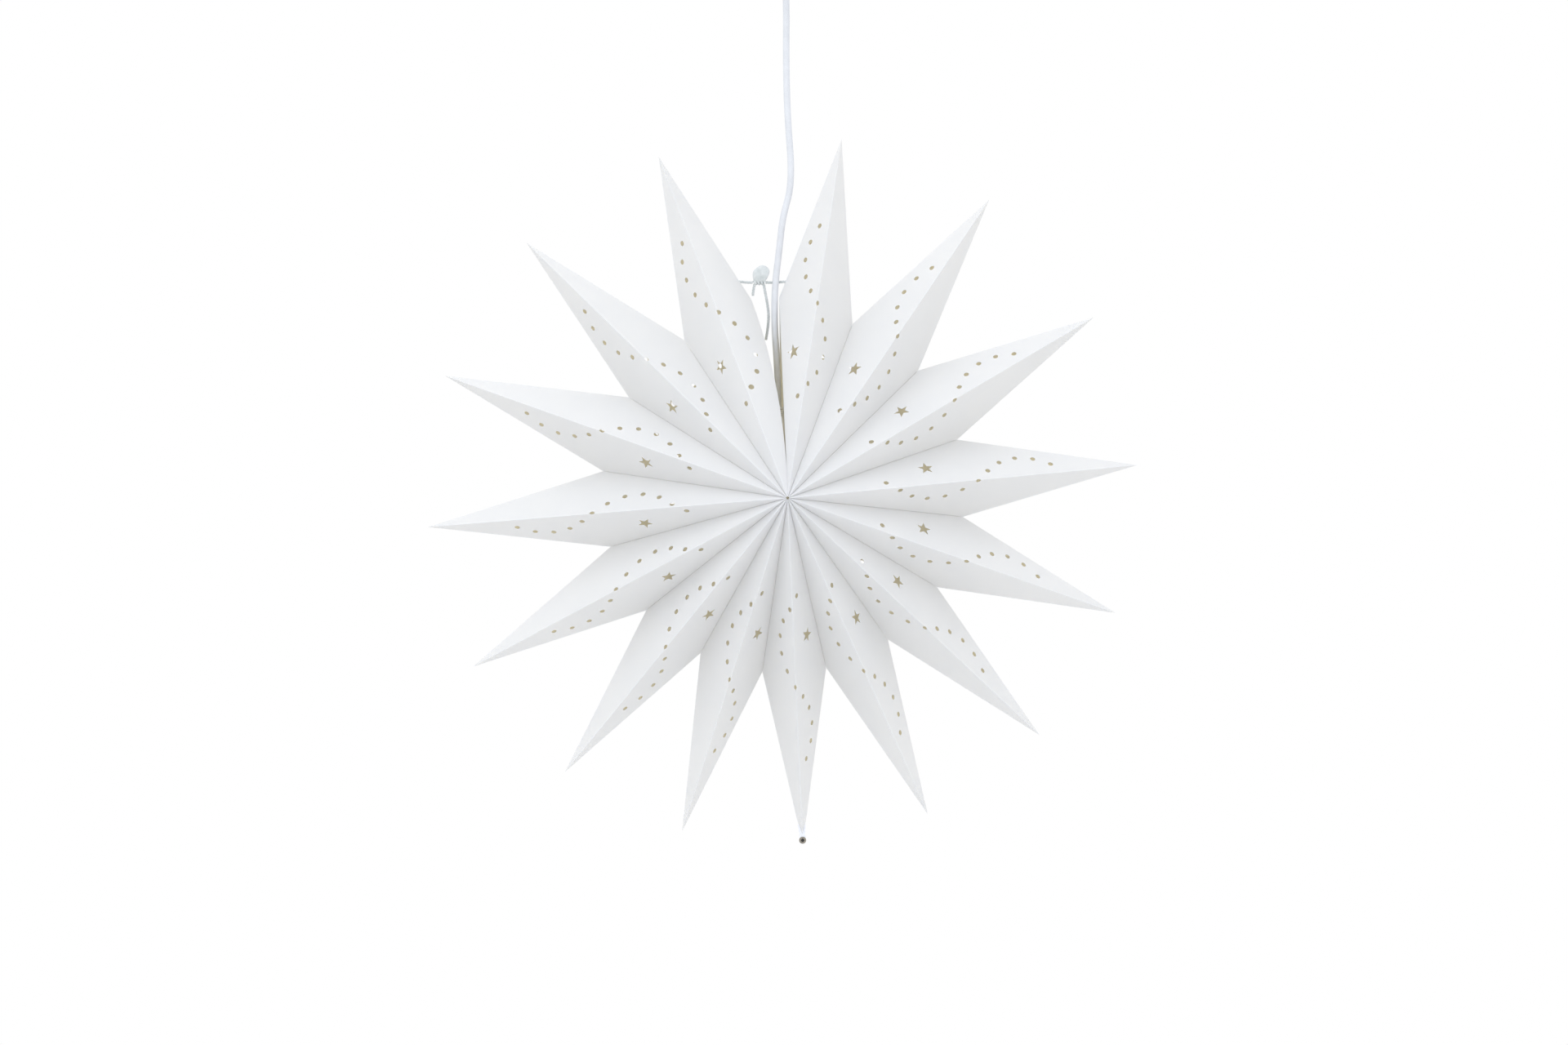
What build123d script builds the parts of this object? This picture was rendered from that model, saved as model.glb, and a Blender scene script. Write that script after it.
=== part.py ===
from build123d import *
from math import atan2, cos, pi, radians, sin, sqrt, tan
import os

# Paper star lantern on a white flex: a fan of 15 folded points, tied into a full circle.
# Millimetres. The origin is the middle of the ceiling face, +Z up, and the star faces -Y.

os.makedirs("parts", exist_ok=True)

# ---------------------------------------------------------------- driving dimensions

# star
star_drop = 515.0           # ceiling to the star's middle
tip_radius = 300.0          # the star's middle to the tip of a point
notch_radius = 152.7        # the star's middle to the notch between two points
gap_notch_radius = 164.0    # the same at the two ends of the fan
half_depth = 80.0           # the star's middle plane to where the creases meet
paper = 0.3                 # card thickness
flange = 10.0               # glue strip along each valley
nip_radius = 1.2            # the sharp inner corners are nipped off here
glue_line = 0.02            # between two glued strips
point_count = 15
middle_point = 8
lean = 3.1                  # the middle point leans this far from straight down, degrees
right_step = 25.8           # angle between points at the fan's right end
left_step = 25.4            # and at its left end
right_step_drop = 5.6       # how much less it is at the bottom, where the weight hangs
left_step_drop = 6.5
right_end_half = 10.6       # last crease to gap, on the right of the gap
left_end_half = 10.9        # and on the left

# star cut-out, in the flat sheet: along the ridge from its inner end, and across it
star_cut_place = (126.4, 19.7)
star_cut_radius = 7.1
star_cut_waist = 0.40       # inner over outer radius

# tie cord through the two end points, above the star's middle
tie_diameter = 2.4
tie_height = 177.0
tie_clearance = 0.3         # tie in its holes, and behind the flex
stopper_radius = 2.2        # overhand knot inside each end point
stopper_length = 2.4
stopper_depth = 4.2         # the knot's near face, in from the crease
knot_length = 11.0
knot_radius = 2.5
knot_x = -20.4
knot_y = 4.7
bow_width = 8.5
bow_height = 14.5
bow_lean = 5.0              # the bow's top leans this far to the right

# eyelet in the bottom tip
eyelet_radius = 3.0
eyelet_bore = 1.4
eyelet_wall = 0.3
eyelet_rim = 0.4            # rim over the card
eyelet_inset = 4.0          # in from the point's tip
eyelet_sides = 24
tab_thickness = 1.2         # card layers pressed together under the eyelet
tab_reach = 11.0            # the layers are glued solid this far from the tip

# small round pieces have flat sides
round_sides = 28            # holder, cord grip and lamp cap
screw_sides = 16

# flex
flex_diameter = 5.5
flex_sides = 8
cord_sides = 6              # tie and cores
flex_clearance = 0.35       # round the flex where it passes a bore
core_diameter = 2.2
core_spread = 1.4           # a core's middle from the flex's middle, where it leaves the sheath
flex_bare = 2.0             # flex above the grip's stem
swing_room = 0.8            # gap that lets the hanging flex swing under its clamped end

# ceiling bracket
bracket_width = 20.0
bracket_thickness = 1.5
bracket_clearance = 0.3     # ears to the inside of the cup
slot_spacing = 52.0
slot_length = 9.0
slot_width = 4.6
ear_width = 12.0
ear_drop = 14.0
bracket_shoulder = 5.0      # the strip narrows to the ears over this end

# cup
canopy_radius = 44.0
canopy_height = 50.0
canopy_wall = 2.0
canopy_top_gap = 1.0        # between the rim and the ceiling
canopy_edge = 1.0           # bevel round the floor
side_screw_drop = 8.0
side_screw_radius = 1.5
side_screw_head_radius = 3.0
side_screw_head_height = 1.8

# cord grip in the cup's floor
stem_radius = 5.0
stem_height = 14.0          # above the floor
collar_radius = 8.0
collar_height = 16.0        # below the floor
mouth_flare = 2.6           # how much wider the bell mouth is than the bore
mouth_depth = 6.5
nut_across = 15.0
nut_height = 4.0
grip_screw_radius = 1.7
grip_screw_inset = 0.5      # below the collar's side
thread_clearance = 0.05

# connector under the bracket
block_length = 20.0
block_width = 12.0
block_height = 13.0
block_hole = 4.0            # square hole for a core
block_hole_offset = 4.0     # its middle from the block's middle
block_screw_radius = 1.8

# lamp holder, below the flex
holder_x = -4.5
holder_top = 72.0           # above the star's middle
cap_neck_radius = 4.6
cap_neck_length = 8.0
neck_draft = 2.0            # how much wider the neck is at its foot
neck_foot = 1.0             # straight part at the neck's foot
cap_ledge = 0.5             # flat ring round the neck
cap_cone_length = 16.0
cap_top_wall = 2.5
cap_skirt_length = 8.0
holder_radius = 13.6
holder_wall = 1.5
body_length = 30.0
spigot_length = 4.0
seat_clearance = 0.1        # between seated round pieces
collet_radius = 5.6
collet_length = 7.0
collet_slit = 1.2
insert_height = 6.0
shell_radius = 7.3          # screw shell, inside
shell_wall = 0.4
shell_length = 20.0
shell_lip = 1.6
body_edge = 1.0             # bevel round the body's lower rim
tongue_drop = 2.0           # lamp's contact below the insert
tongue_width = 4.0
tongue_thickness = 0.4

# tubular lamp with a 14 mm screw cap
bulb_radius = 14.0
bulb_wall = 1.0
bulb_neck_radius = 6.3
bulb_neck_depth = 4.0       # glass inside the cap
bulb_neck_reach = 3.0       # narrow glass below the cap
bulb_shoulder = 18.0        # the tube narrows to the neck over this length
bulb_ledge = 0.5
bulb_bevel = 3.0            # round the tube's lower end
bulb_length = 62.0          # glass below the cap
bulb_cap_radius = 6.9
bulb_cap_length = 19.0
bulb_cap_wall = 0.3
bulb_cap_edge = 1.0
bulb_contact_radius = 2.6
bulb_contact_height = 2.4
contact_clearance = 0.1     # lamp's contact to the tongue
stem_across = 5.0
stem_reach = 34.0


def finish(part, label):
    """Name a finished piece and write its file."""
    part.label = label
    export_step(part, "parts/" + label + ".step")


def fair_radii(route):
    """The widest arc that the two runs at each corner of a flex leave room for."""
    radii = []
    for before, corner, after in zip(route, route[1:], route[2:]):
        run_in = corner - before
        run_out = after - corner
        half_turn = radians(run_in.get_angle(run_out)) / 2
        radii.append(0.45 * min(run_in.length, run_out.length) / tan(half_turn))
    return radii


def cord_tube(route, diameter, sides):
    """A cord along straight runs joined by the widest arcs that fit, with a many-sided section."""
    start = Plane(origin=route[0], z_dir=route[1] - route[0])
    with BuildPart() as tube:
        with BuildLine() as path:
            if len(route) == 2:
                Line(*route)
            else:
                radii = fair_radii(route)
                FilletPolyline(*route, radius=radii)
                print("radii", [round(radius) for radius in radii])
        with BuildSketch(start) as section:
            RegularPolygon(radius=diameter / 2, side_count=sides)
        sweep(path=path.line)
    length = sum(edge.length for edge in path.edges())
    share = tube.part.volume / (section.sketch.area * length)
    print("length", round(length, 1), "volume share", round(share, 4))
    return tube


# ---------------------------------------------------------------- ceiling end

rim_z = -canopy_top_gap
floor_bottom = rim_z - canopy_height
floor_top = floor_bottom + canopy_wall
cup_inner = canopy_radius - canopy_wall
ear_face = sqrt((cup_inner - bracket_clearance) ** 2 - (ear_width / 2) ** 2)
flex_bore = flex_diameter / 2 + flex_clearance
collar_bottom = floor_bottom - collar_height
pivot_z = collar_bottom + mouth_depth
grip_end_z = pivot_z + swing_room
screw_z = (floor_bottom + grip_end_z) / 2
stem_top = floor_top + stem_height
flex_end_z = stem_top + flex_bare

with BuildPart() as ceiling_bracket:
    with BuildSketch():
        Rectangle(2 * ear_face, ear_width)
        Rectangle(2 * (ear_face - bracket_shoulder), bracket_width)
        with GridLocations(slot_spacing, 0, 2, 1):
            SlotOverall(slot_length, slot_width, mode=Mode.SUBTRACT)
    extrude(amount=-bracket_thickness)
    for side in (1, -1):
        ear_middle = Vector(side * (ear_face - bracket_thickness / 2), 0, -ear_drop / 2)
        with Locations(ear_middle):
            Box(bracket_thickness, ear_width, ear_drop)
        with BuildSketch(Plane(origin=(side * ear_face, 0, -side_screw_drop), z_dir=(side, 0, 0))):
            RegularPolygon(radius=side_screw_radius + thread_clearance, side_count=screw_sides)
        extrude(amount=-2 * bracket_thickness, mode=Mode.SUBTRACT)
finish(ceiling_bracket.part, "ceiling_bracket")

with BuildPart() as canopy:
    with BuildSketch(Plane.XZ):
        Polygon(
            (stem_radius + seat_clearance, floor_bottom),
            (canopy_radius - canopy_edge, floor_bottom),
            (canopy_radius, floor_bottom + canopy_edge),
            (canopy_radius, rim_z),
            (cup_inner, rim_z),
            (cup_inner, floor_top),
            (stem_radius + seat_clearance, floor_top),
            align=None,
        )
    revolve(axis=Axis.Z)
    for side in (1, -1):
        with BuildSketch(Plane(origin=(side * canopy_radius, 0, -side_screw_drop), z_dir=(side, 0, 0))):
            RegularPolygon(radius=side_screw_radius + seat_clearance, side_count=screw_sides)
        extrude(amount=-2 * canopy_wall, mode=Mode.SUBTRACT)
finish(canopy.part, "canopy")

with BuildPart() as canopy_screws:
    for side in (1, -1):
        seat = Plane(origin=(side * canopy_radius, 0, -side_screw_drop), z_dir=(side, 0, 0))
        with BuildSketch(seat):
            RegularPolygon(radius=side_screw_radius, side_count=screw_sides)
        extrude(amount=-(canopy_radius - ear_face + 3 * bracket_thickness))
        with BuildSketch(seat):
            RegularPolygon(radius=side_screw_head_radius, side_count=screw_sides)
        extrude(amount=side_screw_head_height)
finish(canopy_screws.part, "canopy_screws")

with BuildPart() as grip_bushing:
    with BuildSketch(Plane.XY.offset(collar_bottom)):
        RegularPolygon(radius=collar_radius, side_count=round_sides)
    extrude(amount=collar_height)
    with BuildSketch(Plane.XY.offset(floor_bottom)):
        RegularPolygon(radius=stem_radius, side_count=round_sides)
    extrude(amount=stem_top - floor_bottom)
    with BuildSketch(Plane.XY.offset(collar_bottom)):
        RegularPolygon(radius=flex_bore, side_count=round_sides)
    extrude(amount=stem_top - collar_bottom, mode=Mode.SUBTRACT)
    lower_face = grip_bushing.faces().sort_by(Axis.Z)[0]
    mouth = lower_face.inner_wires()[0].edges()
    chamfer(mouth, length=mouth_flare, length2=mouth_depth, reference=lower_face)
    with BuildSketch(Plane(origin=(collar_radius, 0, screw_z), z_dir=(1, 0, 0))):
        RegularPolygon(radius=grip_screw_radius + thread_clearance, side_count=screw_sides)
    extrude(amount=-(collar_radius - flex_diameter / 2), mode=Mode.SUBTRACT)
finish(grip_bushing.part, "grip_bushing")

with BuildPart() as grip_screw:
    with BuildSketch(Plane(origin=(collar_radius - grip_screw_inset, 0, screw_z), z_dir=(1, 0, 0))):
        RegularPolygon(radius=grip_screw_radius, side_count=screw_sides)
    extrude(amount=-(collar_radius - grip_screw_inset - flex_diameter / 2 - thread_clearance))
finish(grip_screw.part, "grip_screw")

with BuildPart() as grip_nut:
    with BuildSketch(Plane.XY.offset(floor_top)):
        RegularPolygon(radius=nut_across / 2, side_count=6, major_radius=False)
        RegularPolygon(
            radius=stem_radius + thread_clearance,
            side_count=round_sides,
            mode=Mode.SUBTRACT,
        )
    extrude(amount=nut_height)
finish(grip_nut.part, "grip_nut")

block_top = -bracket_thickness
block_bottom = block_top - block_height
block_middle = (block_top + block_bottom) / 2
with BuildPart() as terminal_block:
    with BuildSketch(Plane.XY.offset(block_bottom)):
        Rectangle(block_length, block_width)
    extrude(amount=block_height)
    with BuildSketch(Plane.XY.offset(block_bottom)):
        with GridLocations(2 * block_hole_offset, 0, 2, 1):
            Rectangle(block_hole, block_hole)
    extrude(amount=block_height, mode=Mode.SUBTRACT)
    with BuildSketch(Plane.XZ.offset(block_width / 2)):
        with Locations((0, block_middle)):
            with GridLocations(2 * block_hole_offset, 0, 2, 1):
                RegularPolygon(radius=block_screw_radius + thread_clearance, side_count=screw_sides)
    extrude(amount=-block_width / 2, mode=Mode.SUBTRACT)
finish(terminal_block.part, "terminal_block")

with BuildPart() as terminal_screws:
    with BuildSketch(Plane.XZ.offset(block_width / 2)):
        with Locations((0, block_middle)):
            with GridLocations(2 * block_hole_offset, 0, 2, 1):
                RegularPolygon(radius=block_screw_radius, side_count=screw_sides)
    extrude(amount=-(block_width / 2 - core_diameter / 2 - thread_clearance))
finish(terminal_screws.part, "terminal_screws")

with BuildPart() as supply_cores:
    for side in (1, -1):
        core_route = [
            Vector(side * core_spread, 0, flex_end_z),
            Vector(side * core_spread, 0, flex_end_z + 7),
            Vector(side * block_hole_offset, 0, block_bottom - 1),
            Vector(side * block_hole_offset, 0, block_middle + 3),
        ]
        add(cord_tube(core_route, core_diameter, cord_sides).part)
finish(supply_cores.part, "supply_cores")


# ---------------------------------------------------------------- flex

# clamped in the grip; the hanging flex swings from the middle of the bell mouth
clamped_route = [Vector(0, 0, flex_end_z), Vector(0, 0, grip_end_z)]
finish(cord_tube(clamped_route, flex_diameter, flex_sides).part, "flex_top")

holder_top_z = holder_top - star_drop
flex_inside = cap_neck_length + cap_top_wall + collet_length / 2
flex_route = [
    Vector(0, 0, pivot_z),
    Vector(2.4, 0, -104),
    Vector(1.9, 0, -150),
    Vector(2.9, 0, -198),
    Vector(7.4, 0, -255),
    Vector(-0.9, 0, -284),
    Vector(-3.5, 0, -309),
    Vector(-7.5, 0, -342),
    Vector(-7.9, 0, -373),
    Vector(-6.0, 0, -401),
    Vector(holder_x, 0, -430),
    Vector(holder_x, 0, holder_top_z - flex_inside),
]
finish(cord_tube(flex_route, flex_diameter, flex_sides).part, "pendant_flex")


# ---------------------------------------------------------------- lamp holder

holder_profile = Plane(origin=(holder_x, 0, 0), x_dir=(1, 0, 0), z_dir=(0, -1, 0))
neck_z = holder_top_z - cap_neck_length
neck_foot_radius = cap_neck_radius + neck_draft
seat_z = neck_z - cap_top_wall
skirt_z = neck_z - cap_cone_length
cap_bottom = skirt_z - cap_skirt_length
body_bottom = cap_bottom - body_length
skirt_inner = holder_radius - holder_wall
spigot_radius = skirt_inner - seat_clearance
body_bore = spigot_radius - holder_wall
insert_z = cap_bottom - insert_height
shell_outer = shell_radius + shell_wall


def holder_rod(radius, low_z, high_z, narrowing=0, taper=0):
    """A flat-sided rod on the holder's axis, which narrows over the top stretch."""
    with BuildPart() as rod:
        with BuildSketch(Plane(origin=(holder_x, 0, low_z))):
            RegularPolygon(radius=radius, side_count=round_sides)
        extrude(amount=high_z - low_z)
        if taper > 0:
            top = rod.faces().sort_by(Axis.Z)[-1]
            chamfer(top.edges(), length=narrowing, length2=taper, reference=top)
    return rod.part


collet_z = seat_z - collet_length
with BuildPart() as holder_cap:
    cone_narrowing = holder_radius - neck_foot_radius - cap_ledge
    add(holder_rod(holder_radius, cap_bottom, neck_z, cone_narrowing, cap_cone_length))
    neck_taper = cap_neck_length - neck_foot
    add(holder_rod(neck_foot_radius, neck_z, holder_top_z, neck_draft, neck_taper))
    chamber_narrowing = skirt_inner - collet_radius - holder_wall
    chamber = holder_rod(skirt_inner, cap_bottom, collet_z, chamber_narrowing, collet_z - skirt_z)
    add(chamber, mode=Mode.SUBTRACT)
    add(holder_rod(collet_radius + seat_clearance, collet_z, seat_z), mode=Mode.SUBTRACT)
    add(holder_rod(flex_bore, seat_z, holder_top_z), mode=Mode.SUBTRACT)
finish(holder_cap.part, "holder_cap")

# a slit ring that the cap presses round the flex
collet_top = seat_z - seat_clearance
with BuildPart() as flex_collet:
    add(holder_rod(collet_radius, collet_top - collet_length, collet_top))
    add(
        holder_rod(flex_diameter / 2 + thread_clearance, collet_top - collet_length, collet_top),
        mode=Mode.SUBTRACT,
    )
    with Locations((holder_x + collet_radius, 0, collet_top - collet_length / 2)):
        Box(2 * collet_radius, collet_slit, collet_length, mode=Mode.SUBTRACT)
finish(flex_collet.part, "flex_collet")

with BuildPart() as holder_body:
    add(holder_rod(holder_radius, body_bottom, cap_bottom - seat_clearance))
    chamfer(holder_body.faces().sort_by(Axis.Z)[0].edges(), body_edge)
    add(holder_rod(spigot_radius, body_bottom + body_edge, cap_bottom + spigot_length))
    with BuildSketch(Plane(origin=(holder_x, 0, body_bottom))):
        Circle(body_bore)
    extrude(amount=cap_bottom + spigot_length - body_bottom, mode=Mode.SUBTRACT)
finish(holder_body.part, "holder_body")

with BuildPart() as holder_insert:
    add(holder_rod(body_bore - seat_clearance, insert_z, cap_bottom))
    with Locations((holder_x, 0, (insert_z + cap_bottom) / 2)):
        Box(
            2 * core_spread + core_diameter + 2 * seat_clearance,
            core_diameter + 2 * seat_clearance,
            insert_height,
            mode=Mode.SUBTRACT,
        )
finish(holder_insert.part, "holder_insert")

with BuildPart() as screw_shell:
    add(holder_rod(shell_outer + shell_lip, insert_z - shell_wall, insert_z))
    add(holder_rod(shell_outer, insert_z - shell_length, insert_z))
    with BuildSketch(Plane(origin=(holder_x, 0, insert_z))):
        Circle(shell_radius)
    extrude(amount=-shell_length, mode=Mode.SUBTRACT)
finish(screw_shell.part, "screw_shell")

with BuildPart() as lamp_cores:
    for side in (1, -1):
        core_route = [
            Vector(holder_x + side * core_spread, 0, flex_route[-1].Z),
            Vector(holder_x + side * core_spread, 0, insert_z + insert_height / 2),
        ]
        add(cord_tube(core_route, core_diameter, cord_sides).part)
finish(lamp_cores.part, "lamp_cores")


# ---------------------------------------------------------------- lamp

cap_top = insert_z - tongue_drop - bulb_contact_height
contact_top = cap_top + bulb_contact_height
cap_edge = cap_top - bulb_cap_length

# a sprung tongue from the insert down to the lamp's contact
tongue_bend = contact_top + contact_clearance + tongue_thickness
with BuildPart() as centre_contact:
    with BuildSketch(holder_profile):
        with BuildLine():
            Polyline(
                (shell_radius - 0.6, insert_z),
                (shell_radius - 0.6, insert_z - tongue_thickness),
                (1.6, tongue_bend - tongue_thickness),
                (-1.6, tongue_bend - tongue_thickness),
                (-1.6, tongue_bend),
                (1.6, tongue_bend),
                (3.6, insert_z),
                close=True,
            )
        make_face()
    extrude(amount=tongue_width / 2, both=True)
finish(centre_contact.part, "centre_contact")

with BuildPart() as bulb_contact:
    with BuildSketch(Plane(origin=(holder_x, 0, cap_top))):
        RegularPolygon(radius=bulb_contact_radius, side_count=screw_sides)
    extrude(amount=bulb_contact_height)
finish(bulb_contact.part, "bulb_contact")

with BuildPart() as bulb_cap:
    add(holder_rod(bulb_cap_radius, cap_edge, cap_top, bulb_cap_edge, bulb_cap_edge))
    add(
        holder_rod(bulb_cap_radius - bulb_cap_wall, cap_edge, cap_top - bulb_cap_edge - bulb_cap_wall),
        mode=Mode.SUBTRACT,
    )
finish(bulb_cap.part, "bulb_cap")

neck_top = cap_edge + bulb_neck_depth
tube_top = cap_edge - bulb_neck_reach
bulb_bottom = cap_edge - bulb_length
shoulder_narrowing = bulb_radius - bulb_neck_radius - bulb_ledge
with BuildPart() as bulb_glass:
    add(holder_rod(bulb_radius, bulb_bottom, tube_top, shoulder_narrowing, bulb_shoulder))
    chamfer(bulb_glass.faces().sort_by(Axis.Z)[0].edges(), bulb_bevel)
    add(holder_rod(bulb_neck_radius, tube_top, neck_top))
    inner_top = tube_top - bulb_wall
    inner_bottom = bulb_bottom + bulb_bevel
    inside = holder_rod(bulb_radius - bulb_wall, inner_bottom, inner_top, shoulder_narrowing, bulb_shoulder)
    add(inside, mode=Mode.SUBTRACT)
    add(holder_rod(bulb_neck_radius - bulb_wall, inner_top, neck_top), mode=Mode.SUBTRACT)
finish(bulb_glass.part, "bulb_glass")

# the lamp's light column stands on a plate across the cap
with BuildPart() as bulb_stem:
    add(holder_rod(bulb_neck_radius, neck_top, neck_top + bulb_wall))
    with BuildSketch(Plane(origin=(holder_x, 0, neck_top))):
        RegularPolygon(radius=stem_across / 2, side_count=6)
    extrude(amount=-stem_reach)
finish(bulb_stem.part, "bulb_stem")


# ---------------------------------------------------------------- the star's geometry

star_middle = Vector(0, 0, -star_drop)
front_middle = star_middle + Vector(0, -half_depth, 0)
back_middle = star_middle + Vector(0, half_depth, 0)


def on_circle(radius, angle):
    """A point of the star's middle plane; angles run from +X towards +Z."""
    turn = radians(angle)
    return star_middle + Vector(radius * cos(turn), 0, radius * sin(turn))


def step_after(number):
    """Angle from a point to the next one clockwise."""
    reach = abs(number + 0.5 - middle_point) / (middle_point - 1)
    step = right_step if number < middle_point else left_step
    drop = right_step_drop if number < middle_point else left_step_drop
    return step - drop * (1 - reach) ** 2


def tip_angle(number):
    """Direction of a point's tip, from +X towards +Z."""
    angle = lean - 90
    for k in range(number, middle_point):
        angle += step_after(k)
    for k in range(middle_point, number):
        angle -= step_after(k)
    return angle


def left_half(number):
    """Angle from a point's tip anticlockwise to its edge."""
    return right_end_half if number == 1 else step_after(number - 1) / 2


def right_half(number):
    """Angle from a point's tip clockwise to its edge."""
    return left_end_half if number == point_count else step_after(number) / 2


def star_outline():
    """Corners of the five-pointed cut-out, one arm away from the ridge."""
    corners = []
    for i in range(10):
        radius = star_cut_radius * (star_cut_waist if i % 2 else 1)
        turn = radians(90 + 36 * i)
        corners.append((radius * cos(turn), radius * sin(turn)))
    return corners


def panel_plane(apex, tip, notch):
    """Plane of one flat panel: its X runs along the ridge from the apex, its Z outwards."""
    ridge = tip - apex
    outward = ridge.cross(notch - apex)
    if outward.Y * (apex.Y - star_middle.Y) < 0:
        outward = outward * -1
    return Plane(origin=apex, x_dir=ridge, z_dir=outward)


def edge_plane(notch, sideways):
    """Plane through the star's axis and a notch, facing away from the point."""
    across = (notch - star_middle).cross(Vector(0, 1, 0))
    if across.dot(sideways) < 0:
        across = across * -1
    return Plane(origin=star_middle, x_dir=notch - star_middle, z_dir=across)


def crease_at(notch, tip, height):
    """Where the crease from a notch to its tip passes a height above the star's middle."""
    share = (star_middle.Z + height - notch.Z) / (tip.Z - notch.Z)
    return notch + (tip - notch) * share


# the tie goes through the outer creases of the two end points
right_gap = on_circle(gap_notch_radius, tip_angle(1) + right_end_half)
left_gap = on_circle(gap_notch_radius, tip_angle(point_count) - left_end_half)
tie_creases = {
    1: crease_at(right_gap, on_circle(tip_radius, tip_angle(1)), tie_height),
    point_count: crease_at(left_gap, on_circle(tip_radius, tip_angle(point_count)), tie_height),
}
eyelet_middle = on_circle(tip_radius - eyelet_inset, tip_angle(middle_point))


knot_z = tie_height - 0.7
stopper_inset = stopper_depth + stopper_length / 2
tie_right_route = [
    tie_creases[1] + Vector(stopper_inset, 0, 0),
    tie_creases[1] + Vector(-1.5, 0.2, 0),
    star_middle + Vector(-6.8, knot_y, knot_z),
    star_middle + Vector(knot_x + knot_length / 2, knot_y, knot_z),
]
tie_left_route = [
    tie_creases[point_count] + Vector(-stopper_inset, 0, 0),
    tie_creases[point_count] + Vector(0.1, 0.1, 0),
    star_middle + Vector(knot_x - knot_length / 2 - 5.3, knot_y, knot_z),
    star_middle + Vector(knot_x - knot_length / 2, knot_y, knot_z),
]
tail_short_route = [
    star_middle + Vector(knot_x - 3.8, knot_y, knot_z - tie_diameter / 2),
    star_middle + Vector(knot_x - 5.4, knot_y + 0.2, knot_z - 11.0),
]
tail_long_route = [
    star_middle + Vector(knot_x + 3.6, knot_y, knot_z - tie_diameter / 2),
    star_middle + Vector(knot_x + 7.0, knot_y + 0.5, knot_z - 17),
    star_middle + Vector(knot_x + 8.4, knot_y + 0.9, knot_z - 33),
    star_middle + Vector(knot_x + 5.6, knot_y + 1.2, knot_z - 48),
]


# ---------------------------------------------------------------- the 15 folded points

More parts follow.
